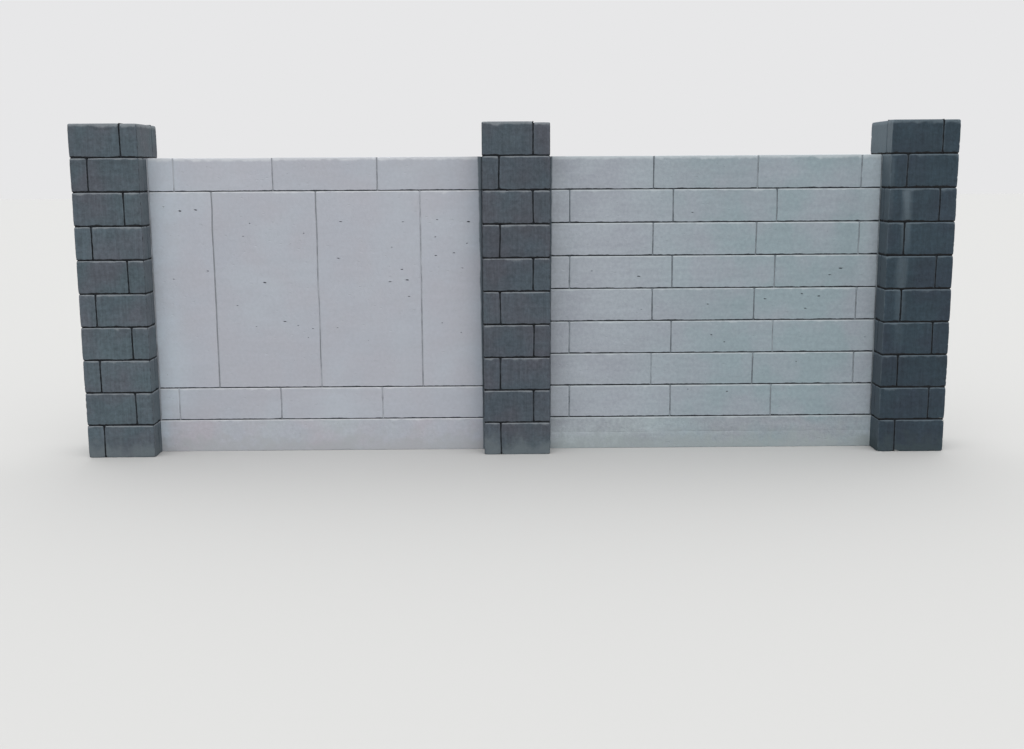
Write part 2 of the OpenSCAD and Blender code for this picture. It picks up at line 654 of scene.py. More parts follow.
    def cover_pore(self, side: Side, outer: list[int], rings: list[list[int]]) -> None:
        """Lays faces from the edge of the four opened cells down to a pore's bottom.

        Args:
            side: The side.
            outer: The eight points round the four cells.
            rings: The pore's rings, from the outside in.
        """
        rim = rings[0]
        for k in range(8):
            here, after = outer[k], outer[(k + 1) % 8]
            a, b, c = rim[2 * k], rim[2 * k + 1], rim[(2 * k + 2) % self.RING_POINTS]
            self.add_face(side, (here, after, b))
            self.add_face(side, (here, b, a))
            self.add_face(side, (after, c, b))
        for ring, inner in zip(rings[:-2], rings[1:-1]):
            for k in range(self.RING_POINTS):
                n = (k + 1) % self.RING_POINTS
                self.add_face(side, (ring[k], ring[n], inner[n], inner[k]))
        last, middle = rings[-2], rings[-1][0]
        for k in range(self.RING_POINTS):
            self.add_face(side, (last[k], last[(k + 1) % self.RING_POINTS], middle))

    def away(self, flat: np.ndarray, side: Side) -> np.ndarray:
        """Gives the distance of points on the unworn box from one of its sides."""
        axis, end = side
        return self.size_mm[axis] - flat[:, axis] if end else flat[:, axis]

    def arris_radius(self, flat: np.ndarray) -> tuple[np.ndarray, np.ndarray]:
        """Gives the local radius of the worn arrises, and where a chip has bared the block.

        Args:
            flat: Points on the unworn box.

        Returns:
            A radius in millimetres and a bareness from 0 to 1 for each point.
        """
        wear = self.wear
        radius = wear.arris_mm + wear.ragged_mm * sum(
            strength * lattice_noise(flat, length, self.seed + step)
            for strength, length, step in self.ARRIS_WAVES)
        from_ends = np.minimum(flat, self.size_mm - flat)
        corner = np.clip(1 - from_ends.max(axis=1) / self.CORNER_REACH_MM, 0, 1)
        radius += wear.corner_mm * corner
        for side, look in self.looks.items():
            if look is Look.JOINT and side[0] != Axis.UP:
                away = self.away(flat, side) / self.CHIP_REACH_MM
                radius += wear.joint_round_mm * np.clip(1.5 - away, 0, 1)
        bare = np.zeros(len(flat))
        for chip in self.chips:
            run = arris_axis(*chip.sides)
            near = np.all([self.away(flat, side) < self.CHIP_REACH_MM for side in chip.sides], axis=0)
            share = np.clip(np.abs(flat[:, run] - chip.along_mm) / (chip.length_mm / 2), 0, 1)
            radius += np.where(near, chip.depth_mm * (1 - share ** 2), 0)
            if chip.bare:
                bare = np.maximum(bare, np.where(near, np.clip(1.6 * (1 - share), 0, 1), 0))
        most = min(self.MOST_RADIUS_MM, self.size_mm.min() / 2 - 0.1)
        return np.clip(radius, self.LEAST_RADIUS_MM, most), bare

    def shaped(self) -> tuple[np.ndarray, dict[str, np.ndarray]]:
        """Wears the box down to the block.

        Returns:
            The points in metres, and what the paint has to know about each of them.
        """
        flat = np.vstack([self.flat_points, np.array(self.extra_points).reshape(-1, 3)])
        inward = np.vstack([np.zeros_like(self.flat_points), np.array(self.extra_inward).reshape(-1, 3)])
        pore = np.concatenate([np.zeros(len(self.flat_points)), self.extra_pore])
        radius, bare = self.arris_radius(flat)
        radius = radius[:, None]
        # Every point lies on a side, so it is at least one radius away from the core
        core = np.clip(flat, radius, self.size_mm[None, :] - radius)
        out = flat - core
        worn = core + out / np.linalg.norm(out, axis=1, keepdims=True) * radius
        corner = np.array(self.box.low)[None, :]
        place = corner / MM + flat
        swing = self.FACE_MIDDLE
        for strength, length, seed in self.FACE_WAVES:
            swing = swing + strength * lattice_noise(place, length, seed)
        for (axis, end), depth in self.sunk_mm.items():
            share = flat[:, axis] / self.size_mm[axis]
            pull = (depth + self.wear.wavy_mm * swing) * (share if end else 1 - share)
            worn[:, axis] += pull * (-1 if end else 1)
        for groove in self.grooves:
            off = np.abs(flat[:, groove.axis] - groove.at_mm) / groove.width_mm
            fade = 0.6 + 0.4 * lattice_noise(place, 130, self.seed + 5)
            cut = groove.depth_mm * fade * np.clip(1 - off, 0, 1)
            worn[:, Axis.THROUGH] += np.where(flat[:, Axis.THROUGH] < self.size_mm[1] / 2, cut, -cut)
        if self.drift:
            worn += self.drift.at(place)
        soot, dust = self.weathering(flat, place)
        return corner + (worn + inward) * MM, {"soot": soot, "dust": dust, "pore": pore, "bare": bare}

    def weathering(self, flat: np.ndarray, place: np.ndarray) -> tuple[np.ndarray, np.ndarray]:
        """Works out how near each point is to soot with painted shade, in the joints, recesses and upright
        corners, and to dust with a painted highlight, on the upper arrises, open tops and upright corners.

        Both fall from 1 at the place to a half at their edge, so that the paint can draw that edge ragged.

        Args:
            flat: Points on the unworn box, in millimetres.
            place: The same points, measured from the wall's origin.

        Returns:
            Soot with painted shade, and dust with a painted highlight, for each point, from 0 to 1.
        """
        wear = self.wear
        spread = 1 + 0.3 * lattice_noise(place, 40, 21)
        away = {side: self.away(flat, side) for side in SIDES}
        behind = np.min([away[side] for side in self.open_sides], axis=0)
        soot = np.clip((behind - self.SOOT_AND_SHADE_START_MM) / self.SOOT_AND_SHADE_FADE_MM, 0, 1)
        dust = np.zeros(len(flat))
        for side in (side for side, look in self.looks.items() if look is Look.JOINT):
            if side == BOTTOM:
                soot = np.maximum(soot, 1 - away[side] / (2 * wear.bed_soot_and_shade_mm * spread))
            elif side == TOP:
                soot = np.maximum(soot, 1 - away[side] / self.TOP_SOOT_AND_SHADE_MM)
                dust = np.maximum(dust, 1 - away[side] / (2 * wear.dust_and_highlight_mm * spread))
            else:
                most = wear.side_soot_and_shade if side[0] == Axis.ALONG else wear.flank_soot_and_shade
                soot = np.maximum(soot, most * (1 - away[side] / self.SEAM_SOOT_AND_SHADE_MM))
        if TOP in self.open_sides:
            dust = np.maximum(dust, 1 - away[TOP] / (2 * wear.top_dust_and_highlight_mm * spread))
        for first in self.open_sides:
            for second in self.open_sides:
                if first[0] < second[0] < Axis.UP:
                    corner = np.maximum(away[first], away[second])
                    dust = np.maximum(dust, wear.corner_highlight * (1 - corner / self.CORNER_HIGHLIGHT_MM))
                    soot = np.maximum(soot, wear.corner_soot_and_shade * (1 - corner / self.CORNER_SOOT_AND_SHADE_MM))
        return soot, dust * (1 - soot)


def join(name: str, shells: list[Shell], finish: bpy.types.Material) -> bpy.types.Object:
    """Makes one piece from several shells.

    Args:
        name: The piece's name.
        shells: The surfaces of its blocks.
        finish: The material of all of them.

    Returns:
        The piece.
    """
    faces = []
    start = 0
    for shell in shells:
        faces += [tuple(corner + start for corner in face) for face in shell.faces]
        start += len(shell.points)
        shell.traces["tone"] = np.full(len(shell.points), shell.tone)
    mesh = bpy.data.meshes.new(name)
    mesh.from_pydata(np.vstack([shell.points for shell in shells]).tolist(), [], faces)
    mesh.validate()
    for trace in TRACES:
        layer = mesh.attributes.new(trace, "FLOAT", "POINT")
        values = np.concatenate([shell.traces[trace] for shell in shells])
        layer.data.foreach_set("value", values.astype(np.float32))
    mesh.shade_smooth()
    mesh.materials.append(finish)
    piece = bpy.data.objects.new(name, mesh)
    bpy.context.scene.collection.objects.link(piece)
    return piece


class Nodes:
    """The node tree of a material or of the world, emptied to be built anew."""

    def __init__(self, owner: bpy.types.Material | bpy.types.World) -> None:
        """Empties the owner's tree.

        Args:
            owner: The material or the world.
        """
        owner.use_nodes = True
        self.tree = owner.node_tree
        self.tree.nodes.clear()

    def add(self, kind: str, inputs: dict | None = None, **settings: object) -> bpy.types.Node:
        """Adds one node.

        Args:
            kind: The node's type.
            inputs: A value, an output socket or a node for each input, by its name or number. Of a node,
                the first output that it shows is taken.
            **settings: The node's own settings.

        Returns:
            The new node.
        """
        made = self.tree.nodes.new(kind)
        for name, value in settings.items():
            setattr(made, name, value)
        for key, value in (inputs or {}).items():
            if isinstance(value, bpy.types.Node):
                value = next(socket for socket in value.outputs if socket.enabled)
            if isinstance(value, bpy.types.NodeSocket):
                self.tree.links.new(value, made.inputs[key])
            else:
                made.inputs[key].default_value = value
        return made


class Layers(Nodes):
    """A matt finish under way, to which each layer adds its colour and its relief.

    Attributes:
        material: The material.
        place: The place on the wall.
        traces: What the mesh knows of each point, by name.
        colour: The node that gives the colour so far.
        normal: The node that gives the bumped surface so far.
    """

    def __init__(self, name: str, traces: tuple[str, ...] = ()) -> None:
        """Starts a material.

        Args:
            name: Its name.
            traces: The traces that it reads from the mesh.
        """
        self.material = bpy.data.materials.new(name)
        super().__init__(self.material)
        self.place = self.add("ShaderNodeTexCoord").outputs["Object"]
        self.traces = {trace: self.add("ShaderNodeAttribute", attribute_name=trace).outputs["Fac"]
                       for trace in traces}
        self.colour: bpy.types.Node | None = None
        self.normal: bpy.types.Node | None = None

    @cached_property
    def axes(self) -> bpy.types.NodeOutputs:
        """X, Y and Z of the place on the wall."""
        return self.add("ShaderNodeSeparateXYZ", {0: self.place}).outputs

    def finished(self, roughness: float | bpy.types.Node, ior: float) -> bpy.types.Material:
        """Gives the colour and the relief to the shader.

        Args:
            roughness: The surface's roughness, or the node that varies it.
            ior: Its index of refraction.

        Returns:
            The material, with all its nodes.
        """
        shader = self.add("ShaderNodeBsdfPrincipled", {
            "Base Color": self.colour, "Roughness": roughness, "IOR": ior, "Metallic": 0.0,
            "Normal": self.normal})
        self.add("ShaderNodeOutputMaterial", {"Surface": shader})
        return self.material


@dataclass(frozen=True)
class Streak:
    """A pale line drawn down the wall's front, in metres."""

    x: float
    width: float
    top: float
    bottom: float
    strength: float = 0.6


@dataclass(frozen=True)
class PaintedLightFade:
    """Painted light and shade: a slow change of colour along the wall, from where it starts to where it is
    full, in metres.
    """

    start: float
    full: float
    colour: str
    strength: float


@dataclass(frozen=True)
class ShadedCutIn:
    """A dark strip of painted shade in the corner beside a pier, drawn as the pier's paint brushed over the
    end of the wall.

    Attributes:
        x: The pier's face, in metres.
        low_mm: How far the paint laps on to the wall near the ground.
        high_mm: The same near the wall's top.
        colour: The strip's colour, a dark painted shade.
    """

    x: float
    low_mm: float
    high_mm: float
    colour: str
    WALL_BOTTOM = 0.3
    WALL_TOP = 1.8
    # Shakes of the brush in a metre, level and upright
    SHAKES = (10.0, 10.0, 14.0)
    SOFT_EDGE_MM = (-2, 5)

    def brushed_with_shade(self, work: Layers) -> None:
        """Paints the dark strip of corner shade over the end of the wall, with a shaky brushed edge.

        Args:
            work: The finish so far.
        """
        drawn = work.add("ShaderNodeMapping", {"Vector": work.place, "Scale": self.SHAKES})
        shaky = work.add("ShaderNodeTexNoise", {"Vector": drawn, "Scale": 1.0, "Detail": 4.0})
        wide = work.add("ShaderNodeMapRange", {
            "Value": work.axes["Z"], "From Min": self.WALL_BOTTOM, "From Max": self.WALL_TOP,
            "To Min": self.low_mm * MM, "To Max": self.high_mm * MM})
        moved = work.add("ShaderNodeMath", {0: shaky, 1: wide, 2: wide}, operation="MULTIPLY_ADD")
        off = work.add("ShaderNodeMath", {0: work.axes["X"], 1: self.x}, operation="SUBTRACT")
        away = work.add("ShaderNodeMath", {0: off}, operation="ABSOLUTE")
        within = work.add("ShaderNodeMath", {0: moved, 1: away}, operation="SUBTRACT")
        painted = work.add("ShaderNodeMapRange", {
            "Value": within, "From Min": self.SOFT_EDGE_MM[0] * MM,
            "From Max": self.SOFT_EDGE_MM[1] * MM})
        work.colour = work.add("ShaderNodeMix", {
            0: painted, 6: work.colour, 7: linear(self.colour)},
            data_type="RGBA")


@dataclass(frozen=True)
class MasonryPaint:
    """Water-based masonry paint, rolled on blockwork.

    It dries fully matt. The roller leaves a stipple and faint lap marks, and the pores of the block show
    through as pinholes.
    Soot and dust come with the years; painted shade goes with the soot into the joints, pores and corners, a
    painted highlight goes with the dust on to the arrises, painted light pales the piers' flanks, and slow
    strips of painted light and shade run along the wall.

    Attributes:
        name: The material's name.
        coat: The paint's usual colour.
        thin: Its colour where the coat is thin or weathered.
        warm: Its colour where dirt has tinted it.
        dust: The colour of the dust and painted highlight on arrises and tops; the flanks' painted light and
            the pale streaks use it too.
        soot: The colour of the soot and painted shade in the joints, pores and corners.
        splash: What rain throws up from the ground.
        tone: Share by which blocks differ in brightness.
        cloud: How strong the clouds of thin coat are.
        grain: Share by which small spots differ in brightness.
        dust_and_highlight_strength: How strong the dust and painted highlight on the arrises are.
        relief_mm: How uneven the surface is under the paint.
        drag_mm: Depth of the upright lines that the saw dragged in the blocks.
        flank_light: Painted light on the flanks of the piers, beside the wall and above it.
        streaks: Pale lines drawn down the front.
        painted_light_fades: Slow strips of painted light and shade along the wall.
        shaded_cut_ins: Dark strips of painted shade in the corners, drawn as the piers' paint lapping on to
            the wall.
    """

    name: str
    coat: str
    thin: str
    warm: str
    dust: str
    soot: str
    splash: str
    tone: float = 0.02
    cloud: float = 0.6
    grain: float = 0.04
    dust_and_highlight_strength: float = 0.7
    relief_mm: float = 0.8
    drag_mm: float = 0.0
    flank_light: tuple[float, float] = (0.0, 0.0)
    streaks: tuple[Streak, ...] = ()
    painted_light_fades: tuple[PaintedLightFade, ...] = ()
    shaded_cut_ins: tuple[ShadedCutIn, ...] = ()

    # Sizes of the clouds of thin coat and of the spots that tear the edges of splash, of dust with painted
    # highlight and of soot with painted shade
    CLOUD_MM = 420.0
    SPLASH_MM = 60.0
    DUST_AND_HIGHLIGHT_MM = 50.0
    SOOT_AND_SHADE_MM = 28.0
    # The coat's uneven spots, the roller's lap marks and the stipple of its nap
    GRAIN_MM = 22.0
    LAP_MM = 40.0
    LAP_LENGTH_MM = 300.0
    NAP_MM = 5.0
    # Patches in which the dried paint is a little more or less matt
    SHINE_MM = 60.0
    # Pinholes are 1 to 3 mm wide, and are spread as coarsely as the render needs to show them: spacing,
    # width of the bottom and of the rim as shares of it, depth, and the share of them that is there
    PINHOLES = (9.0, 0.08, 0.22, 1.2, 1.0)
    DIMPLES = (60.0, 0.05, 0.17, 2.2, 0.35)
    HOLE_SQUEEZE = (1.0, 1.0, 1.8)
    DRAG_MM = 13.0
    DRAG_LENGTH_MM = 170.0
    SPLASH_HEIGHT = 0.14
    SPLASH_SWING = 0.3
    # Waves in a metre of a streak, level and upright, and the heights over which it comes and goes
    STREAK_WAVES = (25.0, 25.0, 6.0)
    STREAK_START = 0.02
    STREAK_END = 0.5
    WALL_TOP = 1.80
    FRONT_Y = -0.18
    ROUGHNESS = 0.86
    ROUGHNESS_SWING = 0.07
    IOR = 1.45
    # Aerated concrete where a late chip has bared it
    BARE = "#A9ABA8"

    def material(self) -> bpy.types.Material:
        """Makes the material.

        Returns:
            The material, with all its nodes.
        """
        work = Layers(self.name, TRACES)
        self.clouded(work)
        self.rolled(work)
        self.flank_light_and_streaks(work)
        self.splashed(work)
        self.dirtied(work)
        for shaded_cut_in in self.shaded_cut_ins:
            shaded_cut_in.brushed_with_shade(work)
        self.raised(work)
        self.pricked(work)
        shine = work.add("ShaderNodeTexNoise", {
            "Vector": work.place, "Scale": per(self.SHINE_MM), "Detail": 2.0})
        rough = work.add("ShaderNodeMapRange", {
            "Value": shine, "To Min": self.ROUGHNESS - self.ROUGHNESS_SWING,
            "To Max": self.ROUGHNESS + self.ROUGHNESS_SWING})
        return work.finished(rough, self.IOR)

    def clouded(self, work: Layers) -> None:
        """Mixes the coat with its thin and its tinted colour, lays the strips of painted light and shade
        along the wall, and sets each block's own tone.

        Args:
            work: The paint so far.
        """
        broad = work.add("ShaderNodeTexNoise", {
            "Vector": work.place, "Scale": per(self.CLOUD_MM), "Detail": 4.0, "Roughness": 0.6})
        thin = work.add("ShaderNodeMapRange", {
            "Value": broad, "From Min": 0.42, "From Max": 0.72, "To Max": self.cloud})
        work.colour = work.add("ShaderNodeMix", {
            0: thin, 6: linear(self.coat), 7: linear(self.thin)},
            data_type="RGBA")
        for fade in self.painted_light_fades:
            along = work.add("ShaderNodeMapRange", {
                "Value": work.axes["X"], "From Min": fade.start, "From Max": fade.full,
                "To Max": fade.strength}, interpolation_type="SMOOTHSTEP")
            work.colour = work.add("ShaderNodeMix", {
                0: along, 6: work.colour, 7: linear(fade.colour)},
                data_type="RGBA")
        tint = work.add("ShaderNodeTexNoise", {
            "Vector": work.place, "Scale": 1.7 * per(self.CLOUD_MM), "Detail": 3.0, "W": 3.0},
            noise_dimensions="4D")
        warm = work.add("ShaderNodeMapRange", {
            "Value": tint, "From Min": 0.42, "From Max": 0.62, "To Max": self.cloud})
        work.colour = work.add("ShaderNodeMix", {
            0: warm, 6: work.colour, 7: linear(self.warm)}, data_type="RGBA")
        value = work.add("ShaderNodeMath", {0: work.traces["tone"], 1: self.tone, 2: 1.0},
                         operation="MULTIPLY_ADD")
        work.colour = work.add("ShaderNodeHueSaturation", {"Color": work.colour, "Value": value})

    @property
    def dragged(self) -> tuple[float, float, float]:
        """Scale of a pattern of upright lines."""
        return per(self.DRAG_MM), per(self.DRAG_MM), per(self.DRAG_LENGTH_MM)

    def rolled(self, work: Layers) -> None:
        """Draws the roller's faint level laps, the small spots of its uneven coat and the saw's lines.

        Args:
            work: The paint so far.
        """
        laps = (per(self.LAP_LENGTH_MM), per(self.LAP_LENGTH_MM), per(self.LAP_MM))
        marks = [(laps, 3.0, 0.5 * self.grain), ((per(self.GRAIN_MM),) * 3, 5.0, self.grain)]
        if self.drag_mm:
            marks.append((self.dragged, 2.0, 0.6 * self.grain))
        for stretch, detail, change in marks:
            drawn = work.add("ShaderNodeMapping", {"Vector": work.place, "Scale": stretch})
            marked = work.add("ShaderNodeTexNoise", {
                "Vector": drawn, "Scale": 1.0, "Detail": detail, "Roughness": 0.65})
            value = work.add("ShaderNodeMapRange", {
                "Value": marked, "From Min": 0.3, "From Max": 0.7,
                "To Min": 1 - change, "To Max": 1 + change})
            work.colour = work.add("ShaderNodeHueSaturation", {"Color": work.colour, "Value": value})

    def flank_light_and_streaks(self, work: Layers) -> None:
        """Paints light on the flanks of the piers and draws the pale lines down the front.

        Args:
            work: The paint so far.
        """
        beside, above = self.flank_light
        if beside or above:
            # Painted light on the faces that look along the wall, stronger above the wall's top
            flank_light_height = work.add("ShaderNodeMapRange", {
                "Value": work.axes["Z"], "From Min": self.WALL_TOP - 0.25,
                "From Max": self.WALL_TOP + 0.08, "To Min": beside, "To Max": above})
            facing = work.add("ShaderNodeSeparateXYZ", {
                0: work.add("ShaderNodeNewGeometry").outputs["True Normal"]})
            flank = work.add("ShaderNodeMath", {0: facing.outputs["X"]}, operation="ABSOLUTE")
            both = work.add("ShaderNodeMath", {0: flank, 1: flank_light_height}, operation="MULTIPLY")
            work.colour = work.add("ShaderNodeMix", {
                0: both, 6: work.colour, 7: linear(self.dust)}, data_type="RGBA")
        for streak in self.streaks:
            self.streaked(work, streak)

    def streaked(self, work: Layers, streak: Streak) -> None:
        """Draws one pale line down the front.

        Args:
            work: The paint so far.
            streak: The line.
        """
        drawn = work.add("ShaderNodeMapping", {"Vector": work.place, "Scale": self.STREAK_WAVES})
        ragged = work.add("ShaderNodeTexNoise", {"Vector": drawn, "Scale": 1.0, "Detail": 3.0})
        shift = work.add("ShaderNodeMath", {
            0: ragged, 1: 0.9 * streak.width, 2: work.axes["X"]},
            operation="MULTIPLY_ADD")
        away = work.add("ShaderNodeMath", {0: shift, 1: streak.x + 0.45 * streak.width},
                        operation="SUBTRACT")
        off = work.add("ShaderNodeMath", {0: away}, operation="ABSOLUTE")
        share = work.add("ShaderNodeMapRange", {
            "Value": off, "From Min": 0.8 * streak.width, "From Max": 0.1 * streak.width,
            "To Max": streak.strength}, interpolation_type="SMOOTHSTEP")
        # It ends below and above, and stays on the front
        for axis, none, full in (("Z", streak.top, streak.top - self.STREAK_START),
                                 ("Z", streak.bottom, streak.bottom + self.STREAK_END),
                                 ("Y", self.FRONT_Y + 0.01, self.FRONT_Y)):
            part = work.add("ShaderNodeMapRange", {
                "Value": work.axes[axis], "From Min": none, "From Max": full})
            share = work.add("ShaderNodeMath", {0: share, 1: part}, operation="MULTIPLY")
        work.colour = work.add("ShaderNodeMix", {
            0: share, 6: work.colour, 7: linear(self.dust)}, data_type="RGBA")

    def splashed(self, work: Layers) -> None:
        """Adds what rain throws up from the ground.

        Args:
            work: The paint so far.
        """
        spots = work.add("ShaderNodeTexNoise", {
            "Vector": work.place, "Scale": per(self.SPLASH_MM), "Detail": 5.0})
        edge = work.add("ShaderNodeMath", {
            0: spots, 1: -self.SPLASH_SWING, 2: work.axes["Z"]},
            operation="MULTIPLY_ADD")
        wet = work.add("ShaderNodeMapRange", {
            "Value": edge, "From Min": self.SPLASH_HEIGHT - self.SPLASH_SWING / 2,
            "From Max": -self.SPLASH_SWING / 2, "To Max": 0.8}, interpolation_type="SMOOTHSTEP")
        work.colour = work.add("ShaderNodeMix", {
            0: wet, 6: work.colour, 7: linear(self.splash)}, data_type="RGBA")

    def dirtied(self, work: Layers) -> None:
        """Lays dust with a painted highlight on the arrises, bares the late chips, and lays soot with
        painted shade in the joints and painted shade in the pores.

        Args:
            work: The paint so far.
        """
        # Dust with a painted highlight on the upper arrises, open tops and upright corners
        dust_and_highlight_share = self.ragged(work, "dust", self.DUST_AND_HIGHLIGHT_MM, 0.9, (0.3, 0.75, self.dust_and_highlight_strength))
        work.colour = work.add("ShaderNodeMix", {
            0: dust_and_highlight_share, 6: work.colour, 7: linear(self.dust)}, data_type="RGBA")
        work.colour = work.add("ShaderNodeMix", {
            0: work.traces["bare"], 6: work.colour, 7: linear(self.BARE)}, data_type="RGBA")
        # Soot with painted shade in the joints, recesses and upright corners
        soot_and_shade_share = self.ragged(work, "soot", self.SOOT_AND_SHADE_MM, 0.7, (0.36, 0.62, 1.0))
        # Pore floors get painted shade, darker the deeper they sink
        pore_shade = work.add("ShaderNodeMath", {0: work.traces["pore"], 1: 0.9}, operation="MULTIPLY")
        soot_and_shade_mix = work.add("ShaderNodeMath", {0: soot_and_shade_share, 1: pore_shade}, operation="MAXIMUM")
        work.colour = work.add("ShaderNodeMix", {
            0: soot_and_shade_mix, 6: work.colour, 7: linear(self.soot)}, data_type="RGBA")

    @staticmethod
    def ragged(work: Layers, trace: str, spots_mm: float, swing: float,
               edge: tuple[float, float, float]) -> bpy.types.Node:
        """Draws the ragged edge of something that lies on the surface.

        Args:
            work: The paint so far.
            trace: The trace that says how near it is, from 0 to 1.
            spots_mm: Size of the spots that tear the edge.
            swing: How far they move it.
            edge: The nearness at which it starts and at which it is full, and its full strength.

        Returns:
            The node that gives its strength.
        """
        torn = work.add("ShaderNodeTexNoise", {"Vector": work.place, "Scale": per(spots_mm), "Detail": 4.0})
        moved = work.add("ShaderNodeMath", {0: torn, 1: swing, 2: work.traces[trace]},
                         operation="MULTIPLY_ADD")
        start, full, strength = edge
        return work.add("ShaderNodeMapRange", {
            "Value": moved, "From Min": start + swing / 2, "From Max": full + swing / 2,
            "To Max": strength}, interpolation_type="SMOOTHSTEP")

    def raised(self, work: Layers) -> None:
        """Raises the uneven ground and the roller's stipple, and sinks the saw's lines.

        Args:
            work: The paint so far.
        """
        rough = work.add("ShaderNodeTexNoise", {
            "Vector": work.place, "Scale": per(self.GRAIN_MM), "Detail": 5.0, "Roughness": 0.6})
        work.normal = work.add("ShaderNodeBump", {
            "Height": rough, "Strength": 0.6,
            "Distance": self.relief_mm * 2 * MM})
        nap = work.add("ShaderNodeTexNoise", {
            "Vector": work.place, "Scale": per(self.NAP_MM), "Detail": 3.0, "Roughness": 0.55})
        work.normal = work.add("ShaderNodeBump", {
            "Height": nap, "Strength": 0.35, "Distance": self.relief_mm * MM,
            "Normal": work.normal})
        if self.drag_mm:
            drawn = work.add("ShaderNodeMapping", {"Vector": work.place, "Scale": self.dragged})
            lines = work.add("ShaderNodeTexNoise", {"Vector": drawn, "Scale": 1.0, "Detail": 2.0})
            work.normal = work.add("ShaderNodeBump", {
                "Height": lines, "Strength": 0.7, "Distance": 2 * self.drag_mm * MM,
                "Normal": work.normal})

    def pricked(self, work: Layers) -> None:
        """Sinks the pinholes and the dimples of painted-over pores.

        Args:
            work: The paint so far.
        """
        for spacing, bottom, rim, depth, share in (self.PINHOLES, self.DIMPLES):
            drawn = work.add("ShaderNodeMapping", {"Vector": work.place, "Scale": self.HOLE_SQUEEZE})
            cells = work.add("ShaderNodeTexVoronoi", {"Vector": drawn, "Scale": per(spacing)})
            holes = work.add("ShaderNodeMapRange", {"Value": cells, "From Min": rim, "From Max": bottom})
            chosen = work.add("ShaderNodeMath", {0: cells.outputs["Color"], 1: share}, operation="LESS_THAN")
            sunk = work.add("ShaderNodeMath", {0: holes, 1: chosen}, operation="MULTIPLY")
            work.normal = work.add("ShaderNodeBump", {
                "Height": sunk, "Strength": 0.5, "Distance": depth * MM, "Normal": work.normal},
                invert=True)


@dataclass(frozen=True)
class PouredConcrete:
    """Bare concrete, poured and struck off with a board.

    It is a flat grey with cement-rich clouds, and the struck face shows the sand and small stones.
    """

    name: str = "poured concrete, struck off"
    cement: str = "#8C8B87"
    sand: str = "#76736C"
    stone: str = "#9D9A92"
    CLOUD_MM = 90.0
    STONE_MM = 11.0
    GRIT_MM = 2.5
    ROUGHNESS = 0.9
    IOR = 1.5

    def material(self) -> bpy.types.Material:
        """Makes the material.

        Returns:
            The material, with all its nodes.
        """
        work = Layers(self.name)
        cloud = work.add("ShaderNodeTexNoise", {
            "Vector": work.place, "Scale": per(self.CLOUD_MM), "Detail": 5.0, "Roughness": 0.65})
        work.colour = work.add("ShaderNodeMix", {
            0: cloud, 6: linear(self.cement), 7: linear(self.sand)},
            data_type="RGBA")
        stones = work.add("ShaderNodeTexVoronoi", {"Vector": work.place, "Scale": per(self.STONE_MM)})
        shown = work.add("ShaderNodeMapRange", {
            "Value": stones.outputs["Distance"], "From Min": 0.34, "From Max": 0.24, "To Max": 0.6})
        work.colour = work.add("ShaderNodeMix", {
            0: shown, 6: work.colour, 7: linear(self.stone)}, data_type="RGBA")
        grit = work.add("ShaderNodeTexNoise", {
            "Vector": work.place, "Scale": per(self.GRIT_MM), "Detail": 3.0})
        work.normal = work.add("ShaderNodeBump", {"Height": grit, "Strength": 0.5, "Distance": 1.0 * MM})
        work.normal = work.add("ShaderNodeBump", {
            "Height": shown, "Strength": 0.4, "Distance": 1.5 * MM,
            "Normal": work.normal})
        return work.finished(self.ROUGHNESS, self.IOR)


@dataclass(frozen=True)
class JointMortar:
    """Thin-bed mortar, raked back with the trowel and painted over with the wall.

    It is rough and darker than the paint beside it: soot stays in the joint, and its darker patches are
    painted shade.
    """

    name: str
    painted: str
    sooty_and_shaded: str
    shaded_cut_ins: tuple[ShadedCutIn, ...] = ()
    GRIT_MM = 3.0
    PATCH_MM = 90.0
    # How far each joint's own tone moves it towards soot and painted shade
    TONE_STEP = 0.16
    ROUGHNESS = 0.92
    IOR = 1.5

    def material(self) -> bpy.types.Material:
        """Makes the material.

        Returns:
            The material, with all its nodes.
        """
        work = Layers(self.name, ("tone",))
        patch = work.add("ShaderNodeTexNoise", {
            "Vector": work.place, "Scale": per(self.PATCH_MM), "Detail": 4.0})
        mixed = work.add("ShaderNodeMath", {
            0: work.traces["tone"], 1: self.TONE_STEP, 2: patch}, operation="MULTIPLY_ADD")
        share = work.add("ShaderNodeMapRange", {"Value": mixed, "From Min": 0.35, "From Max": 0.65})
        work.colour = work.add("ShaderNodeMix", {
            0: share, 6: linear(self.painted), 7: linear(self.sooty_and_shaded)},
            data_type="RGBA")
        for shaded_cut_in in self.shaded_cut_ins:
            shaded_cut_in.brushed_with_shade(work)
        grit = work.add("ShaderNodeTexNoise", {
            "Vector": work.place, "Scale": per(self.GRIT_MM), "Detail": 3.0})
        work.normal = work.add("ShaderNodeBump", {"Height": grit, "Strength": 0.6, "Distance": 1.2 * MM})
        return work.finished(self.ROUGHNESS, self.IOR)


# The second, narrow line lies on the right pier's front-left arris and is a painted highlight
PALE_STREAKS = (Streak(2.32, 0.048, 1.60, 1.15, 0.42), Streak(2.222, 0.03, 1.79, 1.2, 0.1),
                Streak(2.306, 0.06, 1.20, 0.55, 0.17))

PIER_PAINT = MasonryPaint(
    name="masonry paint on aerated concrete, charcoal", coat="#434D56", thin="#4B5960", warm="#4B4B53",
    dust="#8B9196", soot="#090D13", splash="#616A6F", tone=0.07, cloud=0.6, grain=0.2, dust_and_highlight_strength=0.62,
    relief_mm=2.4, drag_mm=1.0, flank_light=(0.06, 0.08))
FADED_PIER_PAINT = replace(
    PIER_PAINT, name="masonry paint on aerated concrete, faded charcoal", coat="#48545C", thin="#505F65",
    warm="#53545D", flank_light=(0.16, 0.02))
